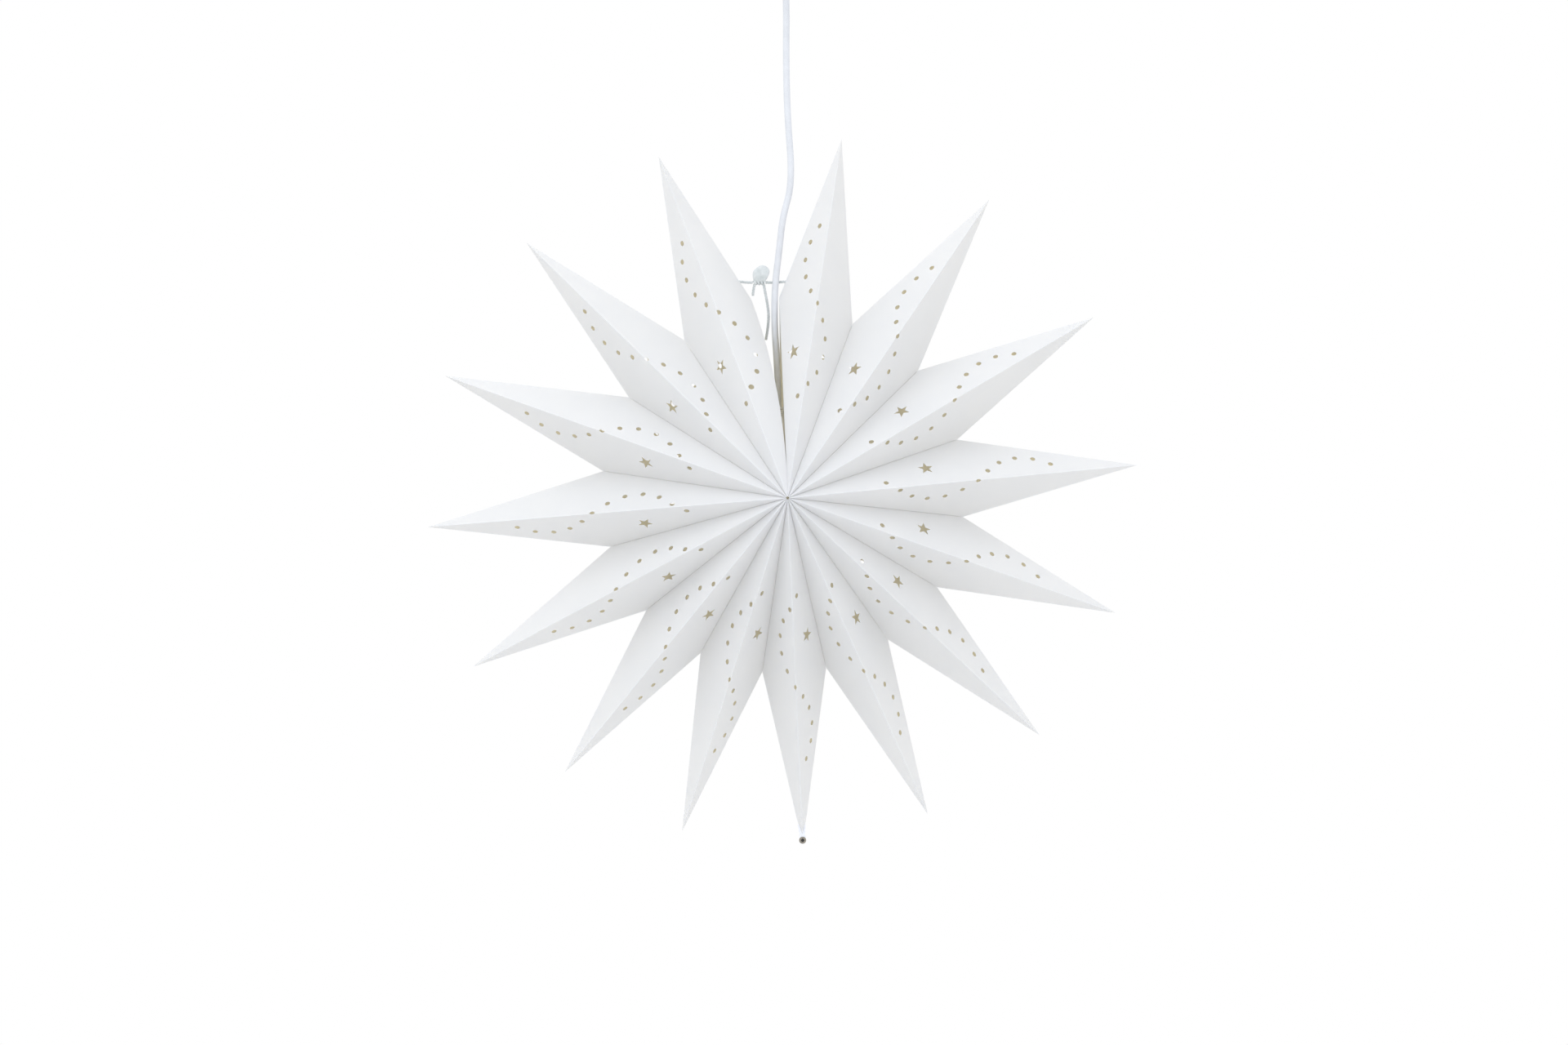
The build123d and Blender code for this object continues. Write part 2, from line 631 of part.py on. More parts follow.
def folded_point(number):
    """One point: four flat panels round an open inside, with a glue strip along each valley."""
    angle = tip_angle(number)
    left_angle = angle + left_half(number)
    right_angle = angle - right_half(number)
    left_radius = gap_notch_radius if number == 1 else notch_radius
    right_radius = gap_notch_radius if number == point_count else notch_radius
    tip = on_circle(tip_radius, angle)
    left = on_circle(left_radius, left_angle)
    right = on_circle(right_radius, right_angle)
    panels = []
    for apex in (front_middle, back_middle):
        for notch in (left, right):
            panels.append(panel_plane(apex, tip, notch))
    edges = [edge_plane(left, left - right), edge_plane(right, right - left)]
    middle_plane = Plane(origin=star_middle, x_dir=(1, 0, 0), z_dir=(0, -1, 0))
    kite = [middle_plane.to_local_coords(v) for v in (star_middle, right, tip, left)]

    # the space that the point takes up, less the inside, which is one card thickness smaller
    with BuildPart() as inside:
        with BuildSketch(middle_plane):
            with BuildLine():
                Polyline(*[(v.X, v.Y) for v in kite], close=True)
            make_face()
        extrude(amount=half_depth, both=True)
        for panel in panels:
            split(bisect_by=panel.offset(-paper), keep=Keep.BOTTOM)
        for edge in edges:
            split(bisect_by=edge.offset(-paper - glue_line / 2), keep=Keep.BOTTOM)
        if number == middle_point:
            solid_end = Plane(origin=on_circle(tip_radius - tab_reach, angle), z_dir=tip - star_middle)
            split(bisect_by=solid_end, keep=Keep.BOTTOM)

    with BuildPart() as point:
        with BuildSketch(middle_plane):
            with BuildLine():
                Polyline(*[(v.X, v.Y) for v in kite], close=True)
            make_face()
        extrude(amount=half_depth, both=True)
        for panel in panels:
            split(bisect_by=panel, keep=Keep.BOTTOM)
        for edge in edges:
            split(bisect_by=edge.offset(-glue_line / 2), keep=Keep.BOTTOM)
        add(inside.part, mode=Mode.SUBTRACT)
        # the walls to the neighbours are open, but for the glue strips along the valleys
        for edge, notch in zip(edges, (left, right)):
            reach = (notch - star_middle).length
            slope = atan2(half_depth, reach)
            window_reach = reach - flange / sin(slope)
            window_half = half_depth - flange / cos(slope)
            with BuildSketch(edge):
                with BuildLine():
                    Polyline((0, -window_half), (window_reach, 0), (0, window_half), close=True)
                make_face()
            extrude(amount=2 * paper, both=True, mode=Mode.SUBTRACT)
        # a star is die-cut in one front panel, and in the back panel that is half a turn round
        for panel, notch in zip(panels, (left, right, left, right)):
            if panel.to_local_coords(notch).Y > 0:
                with BuildSketch(panel):
                    with Locations(star_cut_place):
                        Polygon(*star_outline(), align=None)
                extrude(amount=2 * paper, both=True, mode=Mode.SUBTRACT)
        # the innermost corner is nipped off, so that the points meet round a small pinhole
        nip = Plane(origin=on_circle(nip_radius, angle), z_dir=tip - star_middle)
        split(bisect_by=nip, keep=Keep.TOP)
        if number in tie_creases:
            with BuildSketch(Plane.YZ.offset(tie_creases[number].X)):
                with Locations((0, tie_creases[number].Z)):
                    Circle(tie_diameter / 2 + tie_clearance)
            extrude(amount=stopper_radius, both=True, mode=Mode.SUBTRACT)
        if number == middle_point:
            # the bottom tip is pressed flat and rounded off round its eyelet
            blunt = Plane(origin=eyelet_middle, z_dir=tip - star_middle)
            split(bisect_by=blunt, keep=Keep.BOTTOM)
            for side in (1, -1):
                face = Plane(origin=eyelet_middle, z_dir=(0, side, 0)).offset(tab_thickness / 2)
                with BuildSketch(face):
                    RegularPolygon(radius=eyelet_radius + tie_clearance, side_count=eyelet_sides)
                extrude(amount=eyelet_radius, mode=Mode.SUBTRACT)
            with BuildSketch(Plane(origin=eyelet_middle, z_dir=(0, -1, 0))):
                RegularPolygon(radius=eyelet_radius, side_count=eyelet_sides)
            extrude(amount=tab_thickness / 2, both=True)
            with BuildSketch(Plane(origin=eyelet_middle, z_dir=(0, -1, 0))):
                RegularPolygon(
                    radius=eyelet_bore + eyelet_wall + thread_clearance,
                    side_count=screw_sides,
                )
            extrude(amount=eyelet_radius, both=True, mode=Mode.SUBTRACT)
    return point


for number in range(1, point_count + 1):
    point = folded_point(number)
    finish(point.part, f"point_{number:02d}")

with BuildPart() as tip_eyelet:
    eyelet_length = tab_thickness + 2 * eyelet_rim
    with BuildSketch(Plane(origin=eyelet_middle, z_dir=(0, -1, 0))):
        RegularPolygon(radius=eyelet_radius, side_count=eyelet_sides)
    extrude(amount=eyelet_length / 2, both=True)
    with BuildSketch(Plane(origin=eyelet_middle, z_dir=(0, -1, 0))):
        RegularPolygon(radius=eyelet_radius, side_count=eyelet_sides)
        RegularPolygon(
            radius=eyelet_bore + eyelet_wall,
            side_count=screw_sides,
            mode=Mode.SUBTRACT,
        )
    extrude(amount=tab_thickness / 2, both=True, mode=Mode.SUBTRACT)
    with BuildSketch(Plane(origin=eyelet_middle, z_dir=(0, -1, 0))):
        Circle(eyelet_bore)
    extrude(amount=eyelet_length / 2, both=True, mode=Mode.SUBTRACT)
finish(tip_eyelet.part, "tip_eyelet")


# ---------------------------------------------------------------- the tie

knot_middle = star_middle + Vector(knot_x, knot_y, knot_z)

with BuildPart() as tie_left:
    add(cord_tube(tie_left_route, tie_diameter, cord_sides).part)
    with BuildSketch(Plane(origin=tie_left_route[0], z_dir=(1, 0, 0))):
        RegularPolygon(radius=stopper_radius, side_count=cord_sides)
    extrude(amount=stopper_length / 2, both=True)
finish(tie_left.part, "tie_left")

with BuildPart() as tie_right:
    add(cord_tube(tie_right_route, tie_diameter, cord_sides).part)
    with BuildSketch(Plane(origin=tie_right_route[0], z_dir=(1, 0, 0))):
        RegularPolygon(radius=stopper_radius, side_count=cord_sides)
    extrude(amount=stopper_length / 2, both=True)
finish(tie_right.part, "tie_right")

# the knot is a short fat roll with the bow's loop standing on it
with BuildPart() as tie_knot:
    with BuildSketch(Plane(origin=knot_middle, x_dir=(0, 1, 0), z_dir=(1, 0, 0))):
        RegularPolygon(radius=knot_radius, side_count=cord_sides)
    extrude(amount=knot_length / 2, both=True)
    loop_plane = Plane(origin=knot_middle, x_dir=(1, 0, 0), z_dir=(0, -1, 0))
    foot = knot_length / 2 - 0.8 * tie_diameter
    half_bow = bow_width / 2 - tie_diameter / 2
    crown = bow_height - tie_diameter / 2
    loop = [
        (-foot, 0),
        (-half_bow + bow_lean / 2, crown),
        (half_bow + bow_lean, crown - bow_lean / 3),
        (foot, 0),
    ]
    with BuildLine(loop_plane) as bow:
        FilletPolyline(*loop, radius=half_bow * 0.9)
    with BuildSketch(Plane(origin=bow.line @ 0, z_dir=bow.line % 0)):
        RegularPolygon(radius=tie_diameter / 2, side_count=cord_sides)
    sweep(path=bow.line)
finish(tie_knot.part, "tie_knot")

finish(cord_tube(tail_short_route, tie_diameter, cord_sides).part, "tie_tail_short")
finish(cord_tube(tail_long_route, tie_diameter, cord_sides).part, "tie_tail_long")
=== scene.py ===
from math import atan2, cos, hypot, pi, radians, sin

import bmesh
import bpy
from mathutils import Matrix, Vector
from mathutils.geometry import delaunay_2d_cdt


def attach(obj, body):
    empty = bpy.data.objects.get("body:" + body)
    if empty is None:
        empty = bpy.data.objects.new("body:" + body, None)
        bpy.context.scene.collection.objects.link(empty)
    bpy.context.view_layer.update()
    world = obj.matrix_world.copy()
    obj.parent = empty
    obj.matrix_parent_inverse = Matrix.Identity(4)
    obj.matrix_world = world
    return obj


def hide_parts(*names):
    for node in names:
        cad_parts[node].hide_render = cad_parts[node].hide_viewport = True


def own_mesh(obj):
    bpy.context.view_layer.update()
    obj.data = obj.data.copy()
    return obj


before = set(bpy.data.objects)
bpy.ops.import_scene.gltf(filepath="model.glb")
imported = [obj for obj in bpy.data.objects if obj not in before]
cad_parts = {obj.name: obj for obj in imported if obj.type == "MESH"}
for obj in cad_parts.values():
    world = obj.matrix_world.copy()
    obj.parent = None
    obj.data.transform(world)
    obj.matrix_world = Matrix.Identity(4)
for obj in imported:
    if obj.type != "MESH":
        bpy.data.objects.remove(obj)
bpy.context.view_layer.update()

# Paper star lantern on a white flex: a fan of 15 folded points, tied into a full circle. Lengths are in
# millimetres. The origin is the middle of the ceiling face, +Z up, and the star faces -Y.

MM = 0.001                      # in metres
UP = Vector((0, 0, 1))
scene = bpy.context.scene


# ---------------------------------------------------------------- camera

star_middle = Vector((0, 0, -515))

camera_azimuth = -2.33          # degrees
camera_elevation = 3.23
camera_distance = 2600.0
lens = 70.9
sensor_width = 36.0
image_width = 1920              # pixels
image_height = 1280
star_pixel = (959.7, 603.2)     # where the star's middle is in the image


def make_camera():
    """A camera a little to the left of the star and above it."""
    azimuth = radians(camera_azimuth)
    elevation = radians(camera_elevation)
    back = Vector((sin(azimuth) * cos(elevation), -cos(azimuth) * cos(elevation), sin(elevation)))
    pixel_focal = lens / sensor_width * image_width
    yaw = azimuth + atan2(star_pixel[0] - image_width / 2, pixel_focal)
    pitch = elevation + atan2(image_height / 2 - star_pixel[1], pixel_focal)
    data = bpy.data.cameras.new("camera")
    data.lens = lens
    data.sensor_width = sensor_width
    data.clip_end = 50
    camera = bpy.data.objects.new("camera", data)
    camera.location = (star_middle + back * camera_distance) * MM
    camera.rotation_euler = (pi / 2 - pitch, 0, yaw)
    scene.collection.objects.link(camera)
    scene.camera = camera


make_camera()


# ---------------------------------------------------------------- materials

def add_node(tree, kind, inputs=None, **settings):
    """A new node. Each input is linked to the socket, or set to the value, that is given for it."""
    node = tree.nodes.new(kind)
    for key, value in settings.items():
        setattr(node, key, value)
    for key, value in (inputs or {}).items():
        if isinstance(value, bpy.types.NodeSocket):
            tree.links.new(value, node.inputs[key])
        else:
            node.inputs[key].default_value = value
    return node


class Nodes:
    """A material's node tree, with short calls to add to it."""

    def __init__(self, name):
        self.material = bpy.data.materials.new(name)
        self.material.use_nodes = True
        self.tree = self.material.node_tree
        self.shader = self.tree.nodes["Principled BSDF"]
        self.output = self.tree.nodes["Material Output"]
        self.place = self.add("ShaderNodeTexCoord").outputs["Object"]

    def add(self, kind, inputs=None, **settings):
        return add_node(self.tree, kind, inputs, **settings)

    def link(self, a, b):
        self.tree.links.new(a, b)

    def stretched(self, scale):
        """Places with their own scale along each axis."""
        return self.add("ShaderNodeMapping", {"Vector": self.place, "Scale": scale}).outputs["Vector"]

    def noise(self, scale, detail=3.0, rough=0.55, place=None):
        node = self.add("ShaderNodeTexNoise", {"Vector": place or self.place, "Scale": scale,
                                               "Detail": detail, "Roughness": rough})
        return node.outputs["Fac"]

    def spread(self, value, low, high):
        """The middle of a noise's range, spread out from low to high."""
        node = self.add("ShaderNodeMapRange", {"Value": value, "From Min": 0.3, "From Max": 0.7,
                                               "To Min": low, "To Max": high})
        return node.outputs["Result"]

    def mixed(self, value, dark, light):
        """A colour between dark and light, by a noise."""
        colours = {0: self.spread(value, 0, 1), 6: (*dark, 1), 7: (*light, 1)}
        return self.add("ShaderNodeMix", colours, data_type="RGBA").outputs[2]

    def bump(self, height, strength, distance, normal=None):
        inputs = {"Height": height, "Strength": strength, "Distance": distance}
        if normal is not None:
            inputs["Normal"] = normal
        return self.add("ShaderNodeBump", inputs).outputs["Normal"]


def paper_material(name, dark, light, through, share):
    """White card: faint clouding, fibres and a soft tooth, with some light through it."""
    m = Nodes(name)
    cloud = m.noise(26, 4)
    fibre = m.noise(1100, 3, 0.6)
    long_fibre = m.noise(1.0, 4, 0.6, m.stretched((420, 900, 210)))
    colour = m.mixed(cloud, dark, light)
    m.link(colour, m.shader.inputs["Base Color"])
    m.link(m.spread(fibre, 0.62, 0.78), m.shader.inputs["Roughness"])
    m.shader.inputs["Specular IOR Level"].default_value = 0.35
    normal = m.bump(fibre, 0.25, 0.00006)
    normal = m.bump(long_fibre, 0.2, 0.00008, normal)
    m.link(normal, m.shader.inputs["Normal"])
    glow = m.add("ShaderNodeBsdfTranslucent", {"Color": (*through, 1)})
    mix = m.add("ShaderNodeMixShader", {0: share, 1: m.shader.outputs[0], 2: glow.outputs[0]})
    m.link(mix.outputs[0], m.output.inputs[0])
    return m.material


def solid_material(name, dark, light, rough, cloud, bump, grain=None, metal=0.0, coat=0.0, stretch=None):
    """Moulded, ceramic or metal surface: clouded colour, uneven gloss and a fine grain.

    The grain has the same scale all ways, or its own along each axis where it is stretched.
    """
    m = Nodes(name)
    m.link(m.mixed(m.noise(cloud, 3), dark, light), m.shader.inputs["Base Color"])
    if stretch:
        fine = m.noise(1.0, 3, 0.6, m.stretched(stretch))
    else:
        fine = m.noise(grain, 3, 0.6)
    m.link(m.spread(fine, rough - 0.06, rough + 0.08), m.shader.inputs["Roughness"])
    m.shader.inputs["Metallic"].default_value = metal
    m.shader.inputs["Coat Weight"].default_value = coat
    m.link(m.bump(fine, bump, 0.00004), m.shader.inputs["Normal"])
    return m.material


def cord_material(name, dark, light):
    """Soft spun fibre with fuzz."""
    m = Nodes(name)
    fibre = m.noise(1.0, 4, 0.65, m.stretched((2600, 2600, 900)))
    cloud = m.noise(240, 3)
    m.link(m.mixed(cloud, dark, light), m.shader.inputs["Base Color"])
    m.link(m.spread(fibre, 0.75, 0.92), m.shader.inputs["Roughness"])
    m.shader.inputs["Sheen Weight"].default_value = 0.25
    m.shader.inputs["Sheen Roughness"].default_value = 0.5
    m.link(m.bump(fibre, 0.5, 0.00012), m.shader.inputs["Normal"])
    return m.material


def glass_material(name):
    """Opal glass: milky, glossy, a little see-through."""
    m = Nodes(name)
    cloud = m.noise(35, 3)
    m.link(m.mixed(cloud, (0.86, 0.85, 0.80), (0.93, 0.92, 0.88)), m.shader.inputs["Base Color"])
    m.link(m.spread(m.noise(180, 3), 0.10, 0.18), m.shader.inputs["Roughness"])
    m.shader.inputs["Transmission Weight"].default_value = 0.25
    m.shader.inputs["Coat Weight"].default_value = 0.6
    m.shader.inputs["Coat Roughness"].default_value = 0.05
    m.link(m.bump(m.noise(60, 2), 0.04, 0.0002), m.shader.inputs["Normal"])
    return m.material


card = paper_material(
    "white_card", (0.885, 0.90, 0.94), (0.91, 0.92, 0.955), through=(0.94, 0.96, 1.0), share=0.36)
# Inside faces: the card is white all through, and their warm tan tone is painted warm light bounced round the
# star's inside
card_inside_painted_warm_light = paper_material(
    "card_inside_painted_warm_light", (0.93, 0.865, 0.665), (0.96, 0.90, 0.70), through=(0.97, 0.91, 0.75), share=0.50)
cotton = cord_material("tie_cotton", (0.54, 0.57, 0.56), (0.68, 0.70, 0.69))
flex_sheath = solid_material(
    "flex_sheath", (0.64, 0.65, 0.67), (0.70, 0.71, 0.73), 0.42,
    cloud=90, bump=0.12, stretch=(1500, 1500, 120))
cup_white = solid_material(
    "cup_white", (0.74, 0.74, 0.735), (0.79, 0.79, 0.785), 0.22, cloud=18, bump=0.05, grain=900, coat=0.3)
holder_white = solid_material(
    "holder_white", (0.80, 0.80, 0.78), (0.85, 0.85, 0.83), 0.38, cloud=60, bump=0.12, grain=1600)
insulator = solid_material(
    "insulator", (0.74, 0.71, 0.64), (0.82, 0.79, 0.72), 0.55, cloud=120, bump=0.25, grain=1800)
zinc = solid_material(
    "zinc_steel", (0.50, 0.51, 0.52), (0.62, 0.62, 0.61), 0.38,
    cloud=140, bump=0.25, metal=1.0, stretch=(60, 2200, 900))
nickel = solid_material(
    "nickel_plate", (0.56, 0.54, 0.50), (0.68, 0.66, 0.62), 0.24, cloud=260, bump=0.12, grain=2400, metal=1.0)
dull_metal = solid_material(
    "dull_metal", (0.20, 0.19, 0.17), (0.36, 0.33, 0.28), 0.34, cloud=420, bump=0.2, grain=2400, metal=1.0)
brass = solid_material(
    "contact_brass", (0.62, 0.45, 0.18), (0.74, 0.56, 0.26), 0.28,
    cloud=300, bump=0.15, grain=2200, metal=1.0)
core_brown = solid_material(
    "core_brown", (0.16, 0.075, 0.035), (0.21, 0.10, 0.05), 0.40,
    cloud=200, bump=0.15, stretch=(2200, 2200, 200))
core_blue = solid_material(
    "core_blue", (0.05, 0.13, 0.30), (0.07, 0.17, 0.38), 0.40,
    cloud=200, bump=0.15, stretch=(2200, 2200, 200))
opal = glass_material("opal_glass")
column = solid_material(
    "light_column", (0.82, 0.66, 0.30), (0.90, 0.76, 0.40), 0.35, cloud=200, bump=0.2, grain=1200)
shadow = solid_material(
    "eyelet_shadow", (0.03, 0.03, 0.03), (0.05, 0.05, 0.045), 0.8, cloud=90, bump=0.1, grain=900)


# ---------------------------------------------------------------- mesh help

def new_object(name, data, *materials):
    """A mesh or curve put into the scene with its materials."""
    piece = bpy.data.objects.new(name, data)
    scene.collection.objects.link(piece)
    for material in materials:
        data.materials.append(material)
    return piece


def settle(mesh, sharp):
    """Smooth shading, but for edges that bend by more than sharp degrees."""
    for polygon in mesh.polygons:
        polygon.use_smooth = True
    mesh.set_sharp_from_angle(angle=radians(sharp))


def face_outwards(mesh):
    """A closed mesh's faces, all turned to its outside."""
    work = bmesh.new()
    work.from_mesh(mesh)
    bmesh.ops.recalc_face_normals(work, faces=work.faces)
    work.to_mesh(mesh)
    work.free()


def mesh_object(name, points, faces, *materials, sharp=30):
    """A mesh from points in millimetres, smooth but for its sharp edges."""
    mesh = bpy.data.meshes.new(name)
    mesh.from_pydata([Vector(p) * MM for p in points], [], faces)
    mesh.validate()
    settle(mesh, sharp)
    return new_object(name, mesh, *materials)


def applied(piece):
    """The piece with its modifiers made part of its mesh."""
    graph = bpy.context.evaluated_depsgraph_get()
    mesh = bpy.data.meshes.new_from_object(piece.evaluated_get(graph))
    piece.modifiers.clear()
    piece.data = mesh
    return piece


def rounded(profile, radius, steps=4):
    """A closed profile with its corners rounded off, each as far as its sides allow."""
    out = []
    count = len(profile)
    for i, corner in enumerate(profile):
        p = Vector(corner)
        a = Vector(profile[i - 1]) - p
        b = Vector(profile[(i + 1) % count]) - p
        reach = min(radius, a.length * 0.45, b.length * 0.45)
        if p.x < 1e-6 or reach < 1e-3:
            out.append(tuple(p))
            continue
        start, end = p + a.normalized() * reach, p + b.normalized() * reach
        for k in range(steps + 1):
            t = k / steps
            out.append(tuple((1 - t) ** 2 * start + 2 * t * (1 - t) * p + t * t * end))
    return out


def turned(name, profile, middle, *materials, sides=64, shape=None, sharp=32, axis=UP):
    """A closed profile of (radius, height) turned round an upright line through middle."""
    turn = UP.rotation_difference(Vector(axis)).to_matrix()
    points, rings = [], []
    for r, z in profile:
        ring = []
        if r < 1e-6:
            ring = [len(points)] * sides
            points.append(Vector(middle) + turn @ Vector((0, 0, z)))
        else:
            for k in range(sides):
                angle = 2 * pi * k / sides
                real = shape(r, z, angle) if shape else r
                ring.append(len(points))
                points.append(Vector(middle) + turn @ Vector((real * cos(angle), real * sin(angle), z)))
        rings.append(ring)
    faces = []
    for ring, after in zip(rings, rings[1:] + rings[:1]):
        for k in range(sides):
            j = (k + 1) % sides
            corners = []
            for v in (ring[k], ring[j], after[j], after[k]):
                if v not in corners:
                    corners.append(v)
            if len(corners) > 2:
                faces.append(corners)
    piece = mesh_object(name, points, faces, *materials, sharp=sharp)
    face_outwards(piece.data)
    settle(piece.data, sharp)
    return piece


def cut(piece, *cutters):
    """The piece less the cutters, which are used up."""
    for cutter in cutters:
        modifier = piece.modifiers.new("cut", "BOOLEAN")
        modifier.object = cutter
        modifier.solver = "EXACT"
    applied(piece)
    for cutter in cutters:
        bpy.data.objects.remove(cutter)
    settle(piece.data, 32)
    return piece


def block(name, low, high, *materials):
    """A box between two of its corners."""
    points = [(x, y, z) for x in (low[0], high[0]) for y in (low[1], high[1]) for z in (low[2], high[2])]
    faces = [(0, 1, 3, 2), (4, 6, 7, 5), (0, 4, 5, 1), (2, 3, 7, 6), (0, 2, 6, 4), (1, 5, 7, 3)]
    return mesh_object(name, points, faces, *materials)


def fill_spline(data, route):
    """One smooth spline whose control points are the route's."""
    spline = data.splines.new("NURBS")
    spline.points.add(len(route) - 1)
    for point, place in zip(spline.points, route):
        point.co = (*(Vector(place) * MM), 1)
    spline.order_u = 3
    spline.use_endpoint_u = True


def wire(name, route, radius, material, steps, roundness):
    """A round cord along a route."""
    data = bpy.data.curves.new(name, "CURVE")
    data.dimensions = "3D"
    data.resolution_u = steps
    data.bevel_depth = radius * MM
    data.bevel_resolution = roundness
    data.use_fill_caps = True
    fill_spline(data, route)
    return new_object(name, data, material)


def spline_points(route):
    """Points along the smooth curve whose control points are the route's."""
    data = bpy.data.curves.new("route", "CURVE")
    data.dimensions = "3D"
    data.resolution_u = 16
    fill_spline(data, route)
    guide = new_object("route", data)
    mesh = bpy.data.meshes.new_from_object(guide)
    points = [v.co / MM for v in mesh.vertices]
    bpy.data.objects.remove(guide)
    bpy.data.meshes.remove(mesh)
    return points


def evenly(points, step):
    """The same line with points a step apart."""
    lengths = [0.0]
    for a, b in zip(points, points[1:]):
        lengths.append(lengths[-1] + (b - a).length)
    count = max(2, round(lengths[-1] / step))
    out = []
    k = 0
    for i in range(count + 1):
        want = lengths[-1] * i / count
        while k < len(points) - 2 and lengths[k + 1] < want:
            k += 1
        span = lengths[k + 1] - lengths[k]
        out.append(points[k].lerp(points[k + 1], (want - lengths[k]) / span if span else 0))
    return out


def frames(points):
    """A sideways direction at each point that doesn't twist along the line."""
    ahead = [(points[min(i + 1, len(points) - 1)] - points[max(i - 1, 0)]).normalized()
             for i in range(len(points))]
    side = ahead[0].orthogonal().normalized()
    out = []
    for direction in ahead:
        side = (side - direction * side.dot(direction)).normalized()
        out.append((direction, side, direction.cross(side)))
    return out


def tube(points, radii, sides=10):
    """Points and faces of a closed tube round a line."""
    verts, faces = [], []
    for p, r, (_, a, b) in zip(points, radii, frames(points)):
        for k in range(sides):
            turn = 2 * pi * k / sides
            verts.append(p + a * (r * cos(turn)) + b * (r * sin(turn)))
    rings = len(points)
    for i in range(rings - 1):
        for k in range(sides):
            j = (k + 1) % sides
            faces.append((i * sides + k, i * sides + j, (i + 1) * sides + j, (i + 1) * sides + k))
    faces.append(tuple(reversed(range(sides))))
    faces.append(tuple(range((rings - 1) * sides, rings * sides)))
    return verts, faces


def joined(name, shapes, *materials, sharp=40):
    """One piece from several shapes, each with its points and faces."""
    verts, faces = [], []
    for v, f in shapes:
        start = len(verts)
        verts += v
        faces += [tuple(i + start for i in face) for face in f]
    return mesh_object(name, verts, faces, *materials, sharp=sharp)


def rope_strands(line, radius, ends):
    """Three twisted strands round a line, drawn in at the ends that are loose."""
    strands = 3
    pitch = 7.0
    inner = radius * 0.53
    thick = radius * 0.475
    line = evenly(line, 0.45)
    shapes = []
    for s in range(strands):
        path, radii = [], []
        travelled = 0.0
        for i, (p, (_, a, b)) in enumerate(zip(line, frames(line))):
            if i:
                travelled += (p - line[i - 1]).length
            turn = 2 * pi * (travelled / pitch + s / strands)
            path.append(p + a * (inner * cos(turn)) + b * (inner * sin(turn)))
            to_start = i if ends[0] else len(line)
            to_end = len(line) - 1 - i if ends[1] else len(line)
            radii.append(thick * (0.72 + 0.28 * min(1, to_start / 2, to_end / 2)))
        shapes.append(tube(path, radii, 8))
    return shapes


# ---------------------------------------------------------------- flex and tie cords

flex_radius = 2.75
flex_route = [
    (0, 0, -60.5), (2.4, 0, -104), (1.9, 0, -150), (2.9, 0, -198), (7.4, 0, -255), (-0.9, 0, -284),
    (-3.5, 0, -309), (-7.5, 0, -342), (-7.9, 0, -373), (-6.0, 0, -401), (-4.5, 0, -430), (-4.5, 0, -457),
]


def make_flex():
    """The flex: its end clamped in the cord grip, and the length that hangs down to the lamp holder."""
    clamped = rounded([(0, -33.0), (flex_radius, -33.0), (flex_radius, -59.6), (0, -59.6)], 0.4)
    top = turned("flex_clamped_end", clamped, (0, 0, 0), flex_sheath, sides=32)
    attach(top, "clamped_flex")
    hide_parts("flex_top")
    flex = wire("hanging_flex", flex_route, flex_radius, flex_sheath, steps=24, roundness=8)
    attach(flex, "pendant")
    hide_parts("pendant_flex")


make_flex()


# ---------------------------------------------------------------- the star's geometry, in millimetres

tip_radius = 300.0              # the star's middle to the tip of a point
notch_radius = 152.7            # the star's middle to the notch between two points
gap_notch_radius = 164.0        # the same at the two ends of the fan
half_depth = 80.0               # the star's middle plane to where the creases meet
card_thickness = 0.3
flange = 10.0                   # glue strip along each valley
nip = 1.2                       # the innermost corner is nipped off this far from the middle
seam = 0.13                     # half the groove between two neighbours
point_count = 15
middle_point = 8
lean = 3.1                      # the middle point leans this far from straight down, degrees
right_step = 25.8               # angle between points at the fan's right end
left_step = 25.4                # and at its left end
right_step_drop = 5.6           # how much less it is at the bottom
left_step_drop = 6.5
right_end_half = 10.6           # last crease to gap, on the right of the gap
left_end_half = 10.9            # and on the left
tie_height = 177.0              # tie cord above the star's middle
tie_radius = 1.2
stopper_inset = 5.4             # stopper knot's middle, in from the crease
knot_x = -20.4
knot_y = 4.7
knot_z = tie_height - 0.7


def on_circle(radius, angle):
    """A point of the star's middle plane; angles run from +X towards +Z."""
    return star_middle + Vector((radius * cos(radians(angle)), 0, radius * sin(radians(angle))))


def point_ways(angle):
    """Unit vectors along a point and across it."""
    turn = radians(angle)
    return Vector((cos(turn), 0, sin(turn))), Vector((-sin(turn), 0, cos(turn)))


def step_after(n):
    """Angle from a point to the next one clockwise."""
    reach = abs(n + 0.5 - middle_point) / (middle_point - 1)
    step = right_step if n < middle_point else left_step
    drop = right_step_drop if n < middle_point else left_step_drop
    return step - drop * (1 - reach) ** 2


def tip_angle(n):
    """Direction of a point's tip."""
    angle = lean - 90
    angle += sum(step_after(k) for k in range(n, middle_point))
    return angle - sum(step_after(k) for k in range(middle_point, n))


def left_half(n):
    """Angle from a point's tip anticlockwise to its edge."""
    return right_end_half if n == 1 else step_after(n - 1) / 2


def right_half(n):
    """Angle from a point's tip clockwise to its edge."""
    return left_end_half if n == point_count else step_after(n) / 2


def crease_at(notch, tip, height):
    """Where the crease from a notch to its tip passes a height above the star's middle."""
    return notch + (tip - notch) * ((star_middle.z + height - notch.z) / (tip.z - notch.z))


def chance(*seed):
    """A number from 0 to 1 that is always the same for the same seed."""
    value = sin(sum(s * k for s, k in zip(seed, (12.9898, 78.233, 37.719)))) * 43758.5453
    return value % 1.0


right_gap = on_circle(gap_notch_radius, tip_angle(1) + right_end_half)
left_gap = on_circle(gap_notch_radius, tip_angle(point_count) - left_end_half)
crease_right = crease_at(right_gap, on_circle(tip_radius, tip_angle(1)), tie_height)
crease_left = crease_at(left_gap, on_circle(tip_radius, tip_angle(point_count)), tie_height)
knot = star_middle + Vector((knot_x, knot_y, knot_z))


